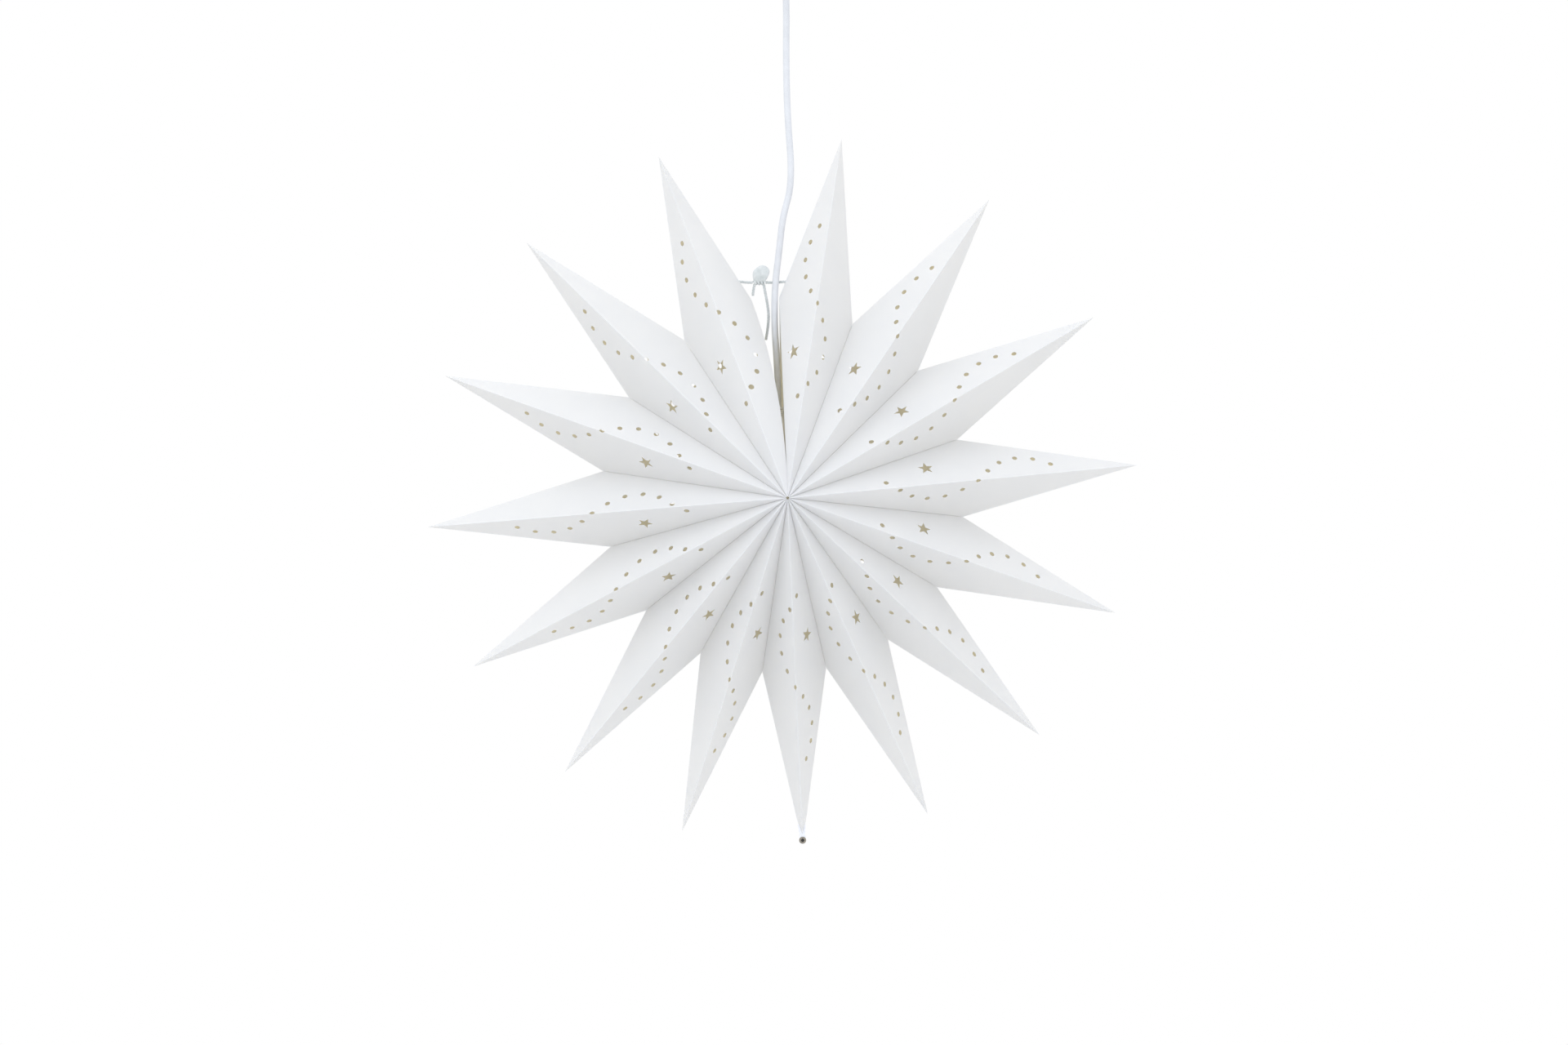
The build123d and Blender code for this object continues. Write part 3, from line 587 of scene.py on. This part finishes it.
def make_tie():
    """A strand through each end point, knotted behind the flex, and the cord's two loose ends."""
    right = [crease_right + Vector((stopper_inset, 0, 0)), crease_right + Vector((-1.5, 0.2, 0)),
             star_middle + Vector((-6.8, knot_y, knot_z)), knot + Vector((5.5, 0, 0))]
    left = [crease_left + Vector((-stopper_inset, 0, 0)), crease_left + Vector((0.1, 0.1, 0)),
            knot + Vector((-10.8, 0, 0)), knot + Vector((-5.5, 0, 0))]
    tail_short = [knot + Vector(p) for p in ((-3.8, 0, -1.2), (-4.9, 0, -5.5), (-5.4, 0.2, -11))]
    tail_long = [knot + Vector(p) for p in ((3.6, 0, -1.2), (7, 0.5, -17), (8.4, 0.9, -33), (5.6, 1.2, -48))]
    pieces = {}
    for name, route, node, body, ends in (
        ("tie_strand_right", right, "tie_right", "fold_01", (True, False)),
        ("tie_strand_left", left, "tie_left", "fold_15", (True, False)),
        ("tie_tail_1", tail_short, "tie_tail_short", "fold_15", (False, True)),
        ("tie_tail_2", tail_long, "tie_tail_long", "fold_15", (False, True)),
    ):
        line = spline_points(route)
        shapes = rope_strands(line, tie_radius, ends)
        if route is right or route is left:
            shapes.append(stopper(line[0], (line[1] - line[0]).normalized()))
        piece = joined(name, shapes, cotton)
        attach(piece, body)
        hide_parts(node)
        pieces[node] = (piece, line)
    bow = make_bow()
    piece, line = pieces["tie_tail_long"]


def stopper(middle, along):
    """A small overhand knot: nearly two turns of the cord round itself."""
    steps = 40
    turns = 1.8
    length = 2.2
    a = along.orthogonal().normalized()
    b = along.cross(a)
    path = []
    for i in range(steps + 1):
        t = i / steps
        turn = 2 * pi * turns * t
        path.append(middle + along * (length * (t - 0.5)) + (a * cos(turn) + b * sin(turn)) * 1.15)
    return tube(path, [1.0] * len(path))


def make_bow():
    """A wrapped knot with one flat loop of tape standing on it."""
    steps = 120
    turns = 3.5
    length = 9.2
    path = []
    for i in range(steps + 1):
        t = i / steps
        turn = 2 * pi * turns * t
        wide = 1.22 * (1 - 0.25 * abs(2 * t - 1) ** 3)      # the wraps draw in at both ends
        path.append(knot + Vector((length * (t - 0.5), wide * cos(turn), wide * sin(turn))))
    wraps = joined("tie_wrapped_knot", [tube(path, [1.15] * len(path), 12)], cotton)
    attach(wraps, "fold_15")
    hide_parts("tie_knot")
    rows = 22
    columns = 10
    verts, faces = [], []
    for i in range(rows + 1):
        t = i / rows
        up = sin(pi * t)                    # out and back over the fold
        front = cos(pi * t)                 # +1 in front, -1 behind
        wide = 4.6 + 2.6 * sin(pi * up * 0.72) - 3.1 * up ** 6
        for j in range(columns + 1):
            s = 2 * j / columns - 1         # -1 at the tape's left edge, +1 at its right
            x = 0.1 + 2.6 * up + wide * s
            z = 14.0 * up * (1 - 0.10 * s * s * up) + 0.4
            y = -front * (1.0 + 1.1 * sin(pi * min(up, 0.98))) - 0.5 * (1 - s * s) * (1 if front > 0 else -1)
            verts.append(knot + Vector((x, y - 0.4, z)))
    for i in range(rows):
        for j in range(columns):
            k = i * (columns + 1) + j
            faces.append((k, k + 1, k + columns + 2, k + columns + 1))
    loop = mesh_object("tie_bow_loop", verts, faces, cotton, sharp=60)
    solid = loop.modifiers.new("thick", "SOLIDIFY")
    solid.thickness = 0.45 * MM
    solid.offset = 0
    smooth = loop.modifiers.new("smooth", "SUBSURF")
    smooth.levels = 1
    smooth.render_levels = 1
    applied(loop)
    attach(loop, "fold_15")
    return wraps, loop


make_tie()


# ---------------------------------------------------------------- the 15 folded points

dot_radius = 2.2
dot_sides = 18
dot_count = 12
dot_step = 15.6                 # from one dot to the next
dot_swing = 44.0                # how far their curve turns off the ridge, degrees
dot_wave = 11.4                 # dots in a full wave of the curve
first_dot = (87.3, 6.8)         # in the flat sheet: along the ridge from its inner end, and across it
star_place = (126.4, 19.7)
star_outer = 7.1
star_inner = 2.84
sheet_rows = 13                 # rows of a panel's mesh, from its ridge to its notch
valley_rows = 12
free_edge_bend = -7.3           # how far the last point's free edge bends away from the gap
blunt_from = 282.0              # the bottom point is shortened from here on
blunt_end = 292.0
thin_reach = 40.0               # the card's sheets close up over this length before the tip


def dot_places():
    """Middles of the dots in the flat sheet, on an S-curve."""
    x, y = first_dot
    places = [first_dot]
    for i in range(dot_count - 1):
        heading = radians(-dot_swing * cos(2 * pi * i / dot_wave))
        x += dot_step * cos(heading)
        y += dot_step * sin(heading)
        places.append((x, y))
    return places


def cut_outs():
    """The outlines of the die-cut star and dots in the flat sheet."""
    star = []
    for i in range(10):
        r = star_inner if i % 2 else star_outer
        turn = radians(90 + 36 * i)
        star.append((star_place[0] + r * cos(turn), star_place[1] + r * sin(turn)))
    holes = [star]
    turns = [2 * pi * k / dot_sides for k in range(dot_sides)]
    for x, y in dot_places():
        holes.append([(x + dot_radius * cos(turn), y + dot_radius * sin(turn)) for turn in turns])
    return holes


def inside_loop(p, loop):
    """Whether a place is inside a closed outline."""
    hit = False
    for (x0, y0), (x1, y1) in zip(loop, loop[1:] + loop[:1]):
        if (y0 > p[1]) != (y1 > p[1]) and p[0] < (x1 - x0) * (p[1] - y0) / (y1 - y0) + x0:
            hit = not hit
    return hit


def clear_of(p, loop, room):
    """Whether a place is at least some room away from an outline's circle."""
    cx = sum(q[0] for q in loop) / len(loop)
    cy = sum(q[1] for q in loop) / len(loop)
    reach = max(hypot(q[0] - cx, q[1] - cy) for q in loop)
    return hypot(p[0] - cx, p[1] - cy) > reach + room


class Panel:
    """One of a point's four flat panels, from its apex to the tip and to one notch."""

    def __init__(self, n, side, tip, notch, tip_way, inset, bend):
        outward = Vector((0, side, 0))
        self.apex = star_middle + outward * half_depth
        self.notch = notch
        self.inset = inset
        self.bend = bend
        self.length = (tip - self.apex).length
        self.along = (tip - self.apex).normalized()
        reach = notch - self.apex
        self.notch_x = reach.dot(self.along)
        sideways = reach - self.along * self.notch_x
        self.notch_y = sideways.length
        self.across = sideways.normalized()
        normal = self.along.cross(self.across)
        self.normal = normal if normal.dot(outward) > 0 else -normal
        self.sign = 1 if outward.cross(self.along).dot(self.across) > 0 else -1
        self.bulge = 0.9 * chance(n, side + 2, self.sign + 2) - 0.3
        # the valley edge moved in by the seam, as far as the crease to the tip
        notch_place = Vector((self.notch_x, self.notch_y))
        self.edge = notch_place.normalized()
        self.valley_start = Vector((self.edge.y, -self.edge.x)) * inset
        crease = Vector((self.length - self.notch_x, -self.notch_y))
        gap = notch_place - self.valley_start
        share = self.edge.cross(gap) / crease.cross(self.edge)
        self.corner = notch_place + crease * share
        # both the ridge and the valley start where the innermost corner is nipped off
        valley_way = self.along * self.edge.x + self.across * self.edge.y
        low = nip / valley_way.dot(tip_way)
        run = (self.corner - self.valley_start).length - low
        self.valley_steps = [low + run * k / valley_rows for k in range(valley_rows + 1)]
        self.nip_x = nip / self.along.dot(tip_way)

    def place(self, x, y):
        """A place of the flat sheet, folded into the star and bowed a little."""
        y = abs(y)
        p = self.apex + self.along * x + self.across * y
        # how near the place is to the notch, to the tip and to the apex
        n = y / self.notch_y
        t = (x - n * self.notch_x) / self.length
        a, n, t = (max(0.0, w) for w in (1 - n - t, n, t))
        p += self.normal * (self.bulge * 27 * a * n * t)
        if self.bend is not None and a + n > 1e-6:
            p += self.bend * (4 * a * n / (a + n) ** 2 * (1 - t) ** 2)
        return p


def flat_sheet(plus, minus, holes):
    """Points and faces of one side's two panels, laid flat, with the cut-outs in the plus panel."""
    points, edges = [], []
    index = {}

    def point(x, y):
        key = (round(x, 4), round(y, 4))
        if key not in index:
            index[key] = len(points)
            points.append(Vector((x, y)))
        return index[key]

    outline = []
    for panel in (plus, minus):
        s = panel.sign
        tip = Vector((panel.length, 0))
        run = panel.length - panel.nip_x
        valley = [panel.valley_start + panel.edge * d for d in panel.valley_steps]
        crease = [panel.corner + (tip - panel.corner) * (k / sheet_rows) for k in range(sheet_rows + 1)]
        ridge = [Vector((panel.nip_x + run * k / sheet_rows, 0)) for k in range(sheet_rows + 1)]
        for line in (valley, crease, ridge):
            ids = [point(p.x, s * p.y) for p in line]
            edges += [(a, b) for a, b in zip(ids, ids[1:]) if a != b]
        edges.append((point(ridge[0].x, 0), point(valley[0].x, s * valley[0].y)))
        outline.append([tuple(p) for p in (ridge[0], valley[0], panel.corner, ridge[-1])])
        for i in range(1, sheet_rows):
            for j in range(1, sheet_rows - i):
                a = i / sheet_rows
                n = j / sheet_rows
                p = tip * (1 - a - n) + panel.corner * n
                flat = (p.x, s * p.y)
                if s < 0 or all(clear_of(flat, hole, 1.6) for hole in holes):
                    point(*flat)
    for hole in holes:
        ids = [point(*p) for p in hole]
        edges += list(zip(ids, ids[1:] + ids[:1]))
    made, _, faces, _, _, _ = delaunay_2d_cdt(points, edges, [], 0, 1e-5)
    kept = []
    for face in faces:
        x = sum(made[i].x for i in face) / len(face)
        y = sum(made[i].y for i in face) / len(face)
        if not inside_loop((x, abs(y)), outline[0 if y > 0 else 1]):
            continue
        if any(inside_loop((x, y), hole) for hole in holes):
            continue
        a, b, c = (made[i] for i in face[:3])
        if abs((b - a).cross(c - a)) < 0.004:     # a sliver along a straight edge
            continue
        kept.append(face)
    return made, kept


def add_sheet(work, panels, holes):
    """The front or the back of a point, folded along its ridge."""
    flat, faces = flat_sheet(panels[1], panels[-1], holes)
    made = []
    for p in flat:
        panel = panels[1 if p.y >= 0 else -1]
        made.append(work.verts.new(panel.place(p.x, p.y) * MM))
    for face in faces:
        corners = [made[i] for i in face]
        a, b, c = (flat[i] for i in face[:3])
        if (b - a).cross(c - a) < 0:
            corners.reverse()
        work.faces.new(corners)


def flange_strip(work, panel, side, sideways):
    """The glue strip along a valley, turned in towards the star's axis."""
    outer = []
    for d in panel.valley_steps:
        p = panel.valley_start + panel.edge * d
        outer.append(panel.place(p.x, p.y))
    straight = (panel.notch - panel.apex).normalized()
    inward = star_middle - panel.apex
    inward = (inward - straight * inward.dot(straight)).normalized()
    notch_way = (panel.notch - star_middle).normalized()
    inner = []
    for p in outer:
        # as wide as it can be, but clear of the strip from the other side and of the axis
        q = p - star_middle
        to_middle = (side * 0.3 - q.y) / inward.y
        to_axis = (q.dot(notch_way) - 1.5) / -inward.dot(notch_way)
        reach = max(0.05, min(flange, to_middle, to_axis))
        close = panel.inset * 0.9 * min(1.0, reach / flange)
        inner.append(p + inward * reach + sideways * close)
    outer_v = [work.verts.new(p * MM) for p in outer]
    inner_v = [work.verts.new(p * MM) for p in inner]
    for a, b, c, d in zip(outer_v, outer_v[1:], inner_v[1:], inner_v):
        normal = (b.co - a.co).cross(d.co - a.co)
        corners = (a, b, c, d) if normal.dot(sideways) > 0 else (d, c, b, a)
        work.faces.new(corners)


def shorten_tip(work, tip_way):
    """The end of the bottom point, drawn in to where its flat tab starts."""
    for v in work.verts:
        p = v.co / MM - star_middle
        past = p.dot(tip_way) - blunt_from
        if past > 0:
            kept = past * (blunt_end - blunt_from) / (tip_radius - blunt_from)
            v.co = (p + tip_way * (kept - past) + star_middle) * MM


def folded_point(n):
    """One point: a front and a back sheet of card round an open inside, with its glue strips."""
    angle = tip_angle(n)
    tip_way, across_way = point_ways(angle)
    tip = on_circle(tip_radius, angle)
    left = on_circle(gap_notch_radius if n == 1 else notch_radius, angle + left_half(n))
    right = on_circle(gap_notch_radius if n == point_count else notch_radius, angle - right_half(n))
    bend = across_way * free_edge_bend if n == point_count else None
    holes = cut_outs()
    work = bmesh.new()
    for side in (-1, 1):
        on_left = Panel(n, side, tip, left, tip_way, 0.0 if n == 1 else seam, None)
        on_right = Panel(n, side, tip, right, tip_way, 0.0 if n == point_count else seam, bend)
        add_sheet(work, {on_left.sign: on_left, on_right.sign: on_right}, holes)
        flange_strip(work, on_left, side, across_way)
        flange_strip(work, on_right, side, -across_way)
    bmesh.ops.remove_doubles(work, verts=work.verts, dist=0.03 * MM)
    loose = [v for v in work.verts if not v.link_faces]
    bmesh.ops.delete(work, geom=loose, context="VERTS")
    if n == middle_point:
        shorten_tip(work, tip_way)
    mesh = bpy.data.meshes.new(f"paper_point_{n:02d}")
    work.to_mesh(mesh)
    work.free()
    settle(mesh, 14)
    piece = new_object(f"paper_point_{n:02d}", mesh, card, card_inside_painted_warm_light)
    full = piece.vertex_groups.new(name="full_thickness")
    for v in mesh.vertices:
        from_tip = tip_radius - (v.co / MM - star_middle).dot(tip_way)
        full.add([v.index], max(0.0, min(1.0, from_tip / thin_reach)), "REPLACE")
    solid = piece.modifiers.new("thick", "SOLIDIFY")
    solid.thickness = card_thickness * MM
    solid.vertex_group = full.name
    solid.thickness_vertex_group = 0.08
    solid.offset = -1
    solid.material_offset = 1
    solid.material_offset_rim = 0
    applied(piece)
    settle(piece.data, 14)
    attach(piece, "pendant" if n == middle_point else f"fold_{n:02d}")
    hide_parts(f"point_{n:02d}")
    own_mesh(piece)


for n in range(1, point_count + 1):
    folded_point(n)


# ---------------------------------------------------------------- bottom tip with its eyelet

eyelet_inset = 4.0              # eyelet's middle, in from the point's tip


def make_tip():
    """The bottom tip, pressed flat and rounded off round its metal eyelet."""
    angle = tip_angle(middle_point)
    way, across = point_ways(angle)
    middle = on_circle(tip_radius - eyelet_inset, angle)
    outline = [(-13.5, 3.3), (-9, 2.75), (-5.5, 2.45), (-3.2, 2.5)]
    for k in range(13):
        turn = radians(120 - 240 * k / 12)
        outline.append((2.95 * cos(turn), 2.95 * sin(turn)))
    outline += [(x, -y) for x, y in reversed(outline[:4])]
    verts = []
    for y in (-0.55, 0.55):
        for a, b in outline:
            verts.append(middle + way * a + across * b + Vector((0, y, 0)))
    count = len(outline)
    faces = [tuple(range(count)), tuple(reversed(range(count, 2 * count)))]
    for k in range(count):
        j = (k + 1) % count
        faces.append((k, k + count, j + count, j))
    tab = mesh_object("tip_tab", verts, faces, card)
    face_outwards(tab.data)
    hole = turned("hole", [(0, -2), (1.6, -2), (1.6, 2), (0, 2)], middle, sides=32, axis=(0, -1, 0))
    cut(tab, hole)
    bevel = tab.modifiers.new("edge", "BEVEL")
    bevel.width = 0.15 * MM
    bevel.segments = 2
    applied(tab)
    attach(tab, "pendant")
    profile = [(1.4, 0.95), (1.62, 1.0), (2.2, 1.0), (2.75, 0.86), (3.0, 0.62), (3.0, 0.58), (1.7, 0.58),
               (1.7, -0.58), (2.8, -0.58), (2.8, -0.66), (2.4, -0.94), (1.7, -1.0), (1.42, -0.95)]
    eyelet = turned("tip_ring", profile, middle, dull_metal, sides=48, axis=(0, -1, 0))
    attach(eyelet, "pendant")
    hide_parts("tip_eyelet")
    # A black disc across the eyelet's bore is painted shadow: it stands for the shade seen down the hole, not
    # for a real part
    disc = rounded([(0, -0.2), (1.5, -0.2), (1.5, 0.2), (0, 0.2)], 0.08)
    painted_shadow_disc = turned("eyelet_painted_shadow", disc, middle, shadow, sides=32, axis=(0, -1, 0))
    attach(painted_shadow_disc, "pendant")


make_tip()


# ---------------------------------------------------------------- lamp holder and lamp

holder = Vector((-4.5, 0, 0))
thread_pitch = 2.82             # lamp cap's screw thread
thread_depth = 0.72
thread_top = -487.4
thread_foot = -503.2


def fluted(depth, low, high, count):
    """Radius with upright grip ribs between two heights."""
    def shape(r, z, angle):
        if not low < z < high or r < 12.8:
            return r
        edge = min(1.0, (z - low) / 0.8, (high - z) / 0.8)
        return r - depth * edge * (0.5 - 0.5 * cos(count * angle))
    return shape


def make_holder():
    """The lamp holder's ribbed cap and body."""
    cap = [(3.2, -443.0), (4.1, -443.0), (4.55, -443.5)]
    for k in range(4):                      # ribbed sleeve round the flex
        z = -444.3 - 1.7 * k
        r = 4.65 + 0.48 * k
        cap += [(r, z), (r + 0.1, z - 0.5), (r - 0.35, z - 0.7), (r - 0.3, z - 1.2)]
    cap += [(6.6, -451.0), (7.2, -451.2)]
    for k in range(1, 9):
        t = k / 8
        cap.append((7.1 + 6.4 * sin(t * pi / 2) ** 1.15, -451.2 - 15.2 * t))
    cap += [(13.6, -467.0), (13.6, -468.0), (13.6, -471.0), (13.6, -474.0), (13.35, -474.8), (12.4, -475.0),
            (12.2, -468.0), (6.2, -460.0), (5.8, -453.8), (3.2, -453.6)]
    ribbed = fluted(0.28, -474.0, -467.4, 36)
    piece = turned("holder_dome", cap, holder, holder_white, sides=144, shape=ribbed, sharp=34)
    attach(piece, "pendant")
    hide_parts("holder_cap")
    body = [(12.0, -471.0), (12.0, -475.2), (13.35, -475.2), (13.6, -475.5), (13.6, -477.0), (13.6, -478.0),
            (13.6, -490.0), (13.6, -501.0), (13.6, -502.0), (13.3, -503.2), (12.9, -504.7), (12.2, -505.0),
            (10.9, -505.0), (10.5, -504.6), (10.5, -471.0)]
    ribbed = fluted(0.2, -501.0, -477.4, 36)
    piece = turned("holder_shell", body, holder, holder_white, sides=144, shape=ribbed, sharp=34)
    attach(piece, "pendant")
    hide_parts("holder_body")


def thread(r, z, angle):
    """Radius with a screw thread between two heights."""
    if r < 6.5 or not thread_foot < z < thread_top:
        return r
    fade = min(1.0, (z - thread_foot) / 1.2, (thread_top - z) / 1.2)
    return r - thread_depth * fade * (0.5 - 0.5 * cos(2 * pi * z / thread_pitch - angle))


def make_lamp():
    """The tubular lamp: its screw cap, its contact and its glass."""
    profile = [(0, -485.4), (3.0, -485.4), (5.6, -485.7), (6.2, -486.4)]
    for k in range(61):
        profile.append((6.86, -486.9 - 17.0 * k / 60))
    profile += [(6.9, -504.1), (6.75, -504.4), (6.35, -504.4), (6.2, -503.8), (5.2, -487.0), (0, -486.4)]
    piece = turned("lamp_cap", profile, holder, nickel, sides=64, shape=thread, sharp=60)
    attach(piece, "lamp")
    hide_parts("bulb_cap")
    tipped = [(0, -483.0), (0.9, -483.0), (1.8, -483.3), (2.4, -483.9), (2.6, -484.6), (2.6, -485.36),
              (0, -485.36)]
    piece = turned("lamp_contact", tipped, holder, brass, sides=32)
    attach(piece, "lamp_travel")
    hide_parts("bulb_contact")
    glass = [(5.6, -500.5), (6.3, -500.6), (6.3, -506.0), (6.45, -507.6)]
    for k in range(1, 13):
        t = k / 12
        glass.append((6.5 + 7.35 * (0.5 - 0.5 * cos(pi * t)) ** 0.8, -507.8 - 17.4 * t))
    glass += [(14.0, -527.0), (14.0, -535.0), (14.0, -545.0), (14.0, -556.0)]
    for k in range(1, 11):
        t = radians(9 * k)
        glass.append((14.0 * cos(t) if k < 10 else 0, -556.0 - 10.3 * sin(t)))
    inner = [(0, -565.2)]
    for k in range(5, 0, -1):
        t = radians(15 * k)
        inner.append((13.0 * cos(t), -556.0 - 9.2 * sin(t)))
    inner += [(13.0, -556.0), (13.0, -527.0), (9.4, -516.0), (5.6, -508.0)]
    piece = turned("lamp_glass", glass + inner, holder, opal, sides=64, sharp=40)
    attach(piece, "lamp")
    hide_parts("bulb_glass")


make_holder()
make_lamp()


# ---------------------------------------------------------------- ceiling end

def make_ceiling_end():
    """The cup on its side screws, the cord grip and the two supply cores."""
    outer = rounded([(44.0, -1.0), (44.0, -51.0), (5.1, -51.0), (5.1, -49.0), (42.0, -49.0), (42.0, -1.0)],
                    1.6, 5)
    cup = turned("ceiling_cup", outer, (0, 0, 0), cup_white, sides=128, sharp=40)
    bore = [(0, -5), (1.7, -5), (1.7, 5), (0, 5)]
    holes = [turned(f"hole_{s}", bore, (s * 43.0, 0, -8.0), sides=32, axis=(1, 0, 0)) for s in (1, -1)]
    cut(cup, *holes)
    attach(cup, "ceiling_fitting")
    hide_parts("canopy")
    for s, name in ((1, "cup_screw_right"), (-1, "cup_screw_left")):
        profile = [(0, 1.75), (1.6, 1.7), (2.5, 1.35), (2.95, 0.75), (3.0, 0.1), (2.9, 0.02), (1.5, 0.0)]
        for k in range(17):
            profile.append((1.5 if k % 2 else 1.32, -0.3 - 0.4 * k))
        profile += [(1.1, -7.2), (0, -7.3)]
        screw = turned(name, profile, (s * 44.0, 0, -8.0), nickel, sides=32, axis=(s, 0, 0))
        x = sorted((s * 45.1, s * 47.0))
        slot = block("slot", (x[0], -4, -8.35), (x[1], 4, -7.65))
        cut(screw, slot)
        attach(screw, "ceiling_fitting")
        if s > 0:
            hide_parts("canopy_screws")
    grip = [(3.1, -35.0), (4.6, -35.0), (5.0, -35.4)]
    for k in range(12):
        z = -36.4 - k
        grip += [(5.0, z), (4.72, z - 0.5)]
    grip += [(5.0, -48.6), (5.0, -51.0), (7.6, -51.0), (8.0, -51.4), (8.0, -58.6), (7.8, -59.4)]
    for k in range(1, 8):
        t = k / 7
        grip.append((7.8 - 1.2 * t * t, -59.4 - 7.0 * t))
    grip += [(6.35, -66.9), (5.7, -67.0)]
    for k in range(1, 7):
        t = k / 6
        grip.append((5.7 - 2.6 * t ** 1.15, -67.0 + 6.5 * t))
    piece = turned("cord_grip", grip, (0, 0, 0), cup_white, sides=64, sharp=40)
    bore = [(0, -2.6), (1.75, -2.6), (1.75, 3), (0, 3)]
    cut(piece, turned("hole", bore, (7.0, 0, -55.35), sides=24, axis=(1, 0, 0)))
    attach(piece, "ceiling_fitting")
    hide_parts("grip_bushing")
    for s, name, core in ((1, "supply_core_right", core_brown), (-1, "supply_core_left", core_blue)):
        route = [(1.4 * s, 0, -33.0), (1.4 * s, 0, -26.0), (4.0 * s, 0, -15.5), (4.0 * s, 0, -5.0)]
        piece = wire(name, route, 1.1, core, steps=16, roundness=5)
        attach(piece, "ceiling_fitting")
        if s > 0:
            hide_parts("supply_cores")


make_ceiling_end()


# ---------------------------------------------------------------- pieces that keep their CAD shape

for node, finish_as, edge in (
    ("ceiling_bracket", zinc, 0.25), ("grip_nut", cup_white, 0.4), ("grip_screw", holder_white, 0.15),
    ("terminal_block", insulator, 0.5), ("terminal_screws", brass, 0.15), ("flex_collet", holder_white, 0.1),
    ("holder_insert", insulator, 0.2), ("lamp_cores", core_brown, 0.0), ("screw_shell", nickel, 0.0),
    ("centre_contact", brass, 0.05), ("bulb_stem", column, 0.2),
):
    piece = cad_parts[node]
    piece.data.materials.clear()
    piece.data.materials.append(finish_as)
    if edge:
        bevel = piece.modifiers.new("edge", "BEVEL")
        bevel.width = edge * MM
        bevel.segments = 2
        bevel.limit_method = "ANGLE"
        bevel.angle_limit = radians(40)


# ---------------------------------------------------------------- floor, world and light

def make_floor():
    floor = block("floor", (-2500, -2500, -2302), (2500, 2500, -2300))
    m = Nodes("pale_floor")
    m.link(m.mixed(m.noise(3, 3), (0.86, 0.86, 0.86), (0.89, 0.89, 0.89)), m.shader.inputs["Base Color"])
    m.link(m.spread(m.noise(40, 3), 0.7, 0.85), m.shader.inputs["Roughness"])
    floor.data.materials.append(m.material)


def make_world():
    """A soft room, a little brighter above than below, with a white background."""
    world = bpy.data.worlds.new("soft_room")
    scene.world = world
    world.use_nodes = True
    tree = world.node_tree
    background = tree.nodes["Background"]
    place = add_node(tree, "ShaderNodeTexCoord").outputs["Generated"]
    height = add_node(tree, "ShaderNodeSeparateXYZ", {0: place}).outputs["Z"]
    share = add_node(tree, "ShaderNodeMapRange", {"Value": height, "From Min": -1, "From Max": 1})
    colours = {0: share.outputs["Result"], 6: (0.93, 0.945, 0.955, 1), 7: (1.10, 1.14, 1.23, 1)}
    room = add_node(tree, "ShaderNodeMix", colours, data_type="RGBA").outputs[2]
    rays = add_node(tree, "ShaderNodeLightPath").outputs
    seen = rays["Is Camera Ray"]
    for kind in ("Is Glossy Ray", "Is Transmission Ray"):
        seen = add_node(tree, "ShaderNodeMath", {0: seen, 1: rays[kind]}, operation="MAXIMUM").outputs[0]
    pick = add_node(tree, "ShaderNodeMix", {0: seen, 6: room, 7: (1, 1, 1, 1)}, data_type="RGBA")
    tree.links.new(pick.outputs[2], background.inputs["Color"])
    background.inputs["Strength"].default_value = 1.0


def make_lights():
    """Two soft lamps: one above on the left, and a weak one below on the right."""
    for name, place, aim, size, power, colour in (
        ("overhead", (-800, -1500, 1500), (0, 0, -500), 2.4, 20.0, (0.95, 0.98, 1.0)),
        ("low_fill", (900, -1700, -1300), (0, 0, -515), 1.4, 3.0, (1.0, 0.98, 0.93)),
    ):
        data = bpy.data.lights.new(name, "AREA")
        data.shape = "SQUARE"
        data.size = size
        data.energy = power
        data.color = colour
        lamp = bpy.data.objects.new(name, data)
        lamp.location = Vector(place) * MM
        lamp.rotation_euler = (Vector(aim) - Vector(place)).to_track_quat("-Z", "Y").to_euler()
        scene.collection.objects.link(lamp)


make_floor()
make_world()
make_lights()
scene.view_settings.view_transform = "Standard"
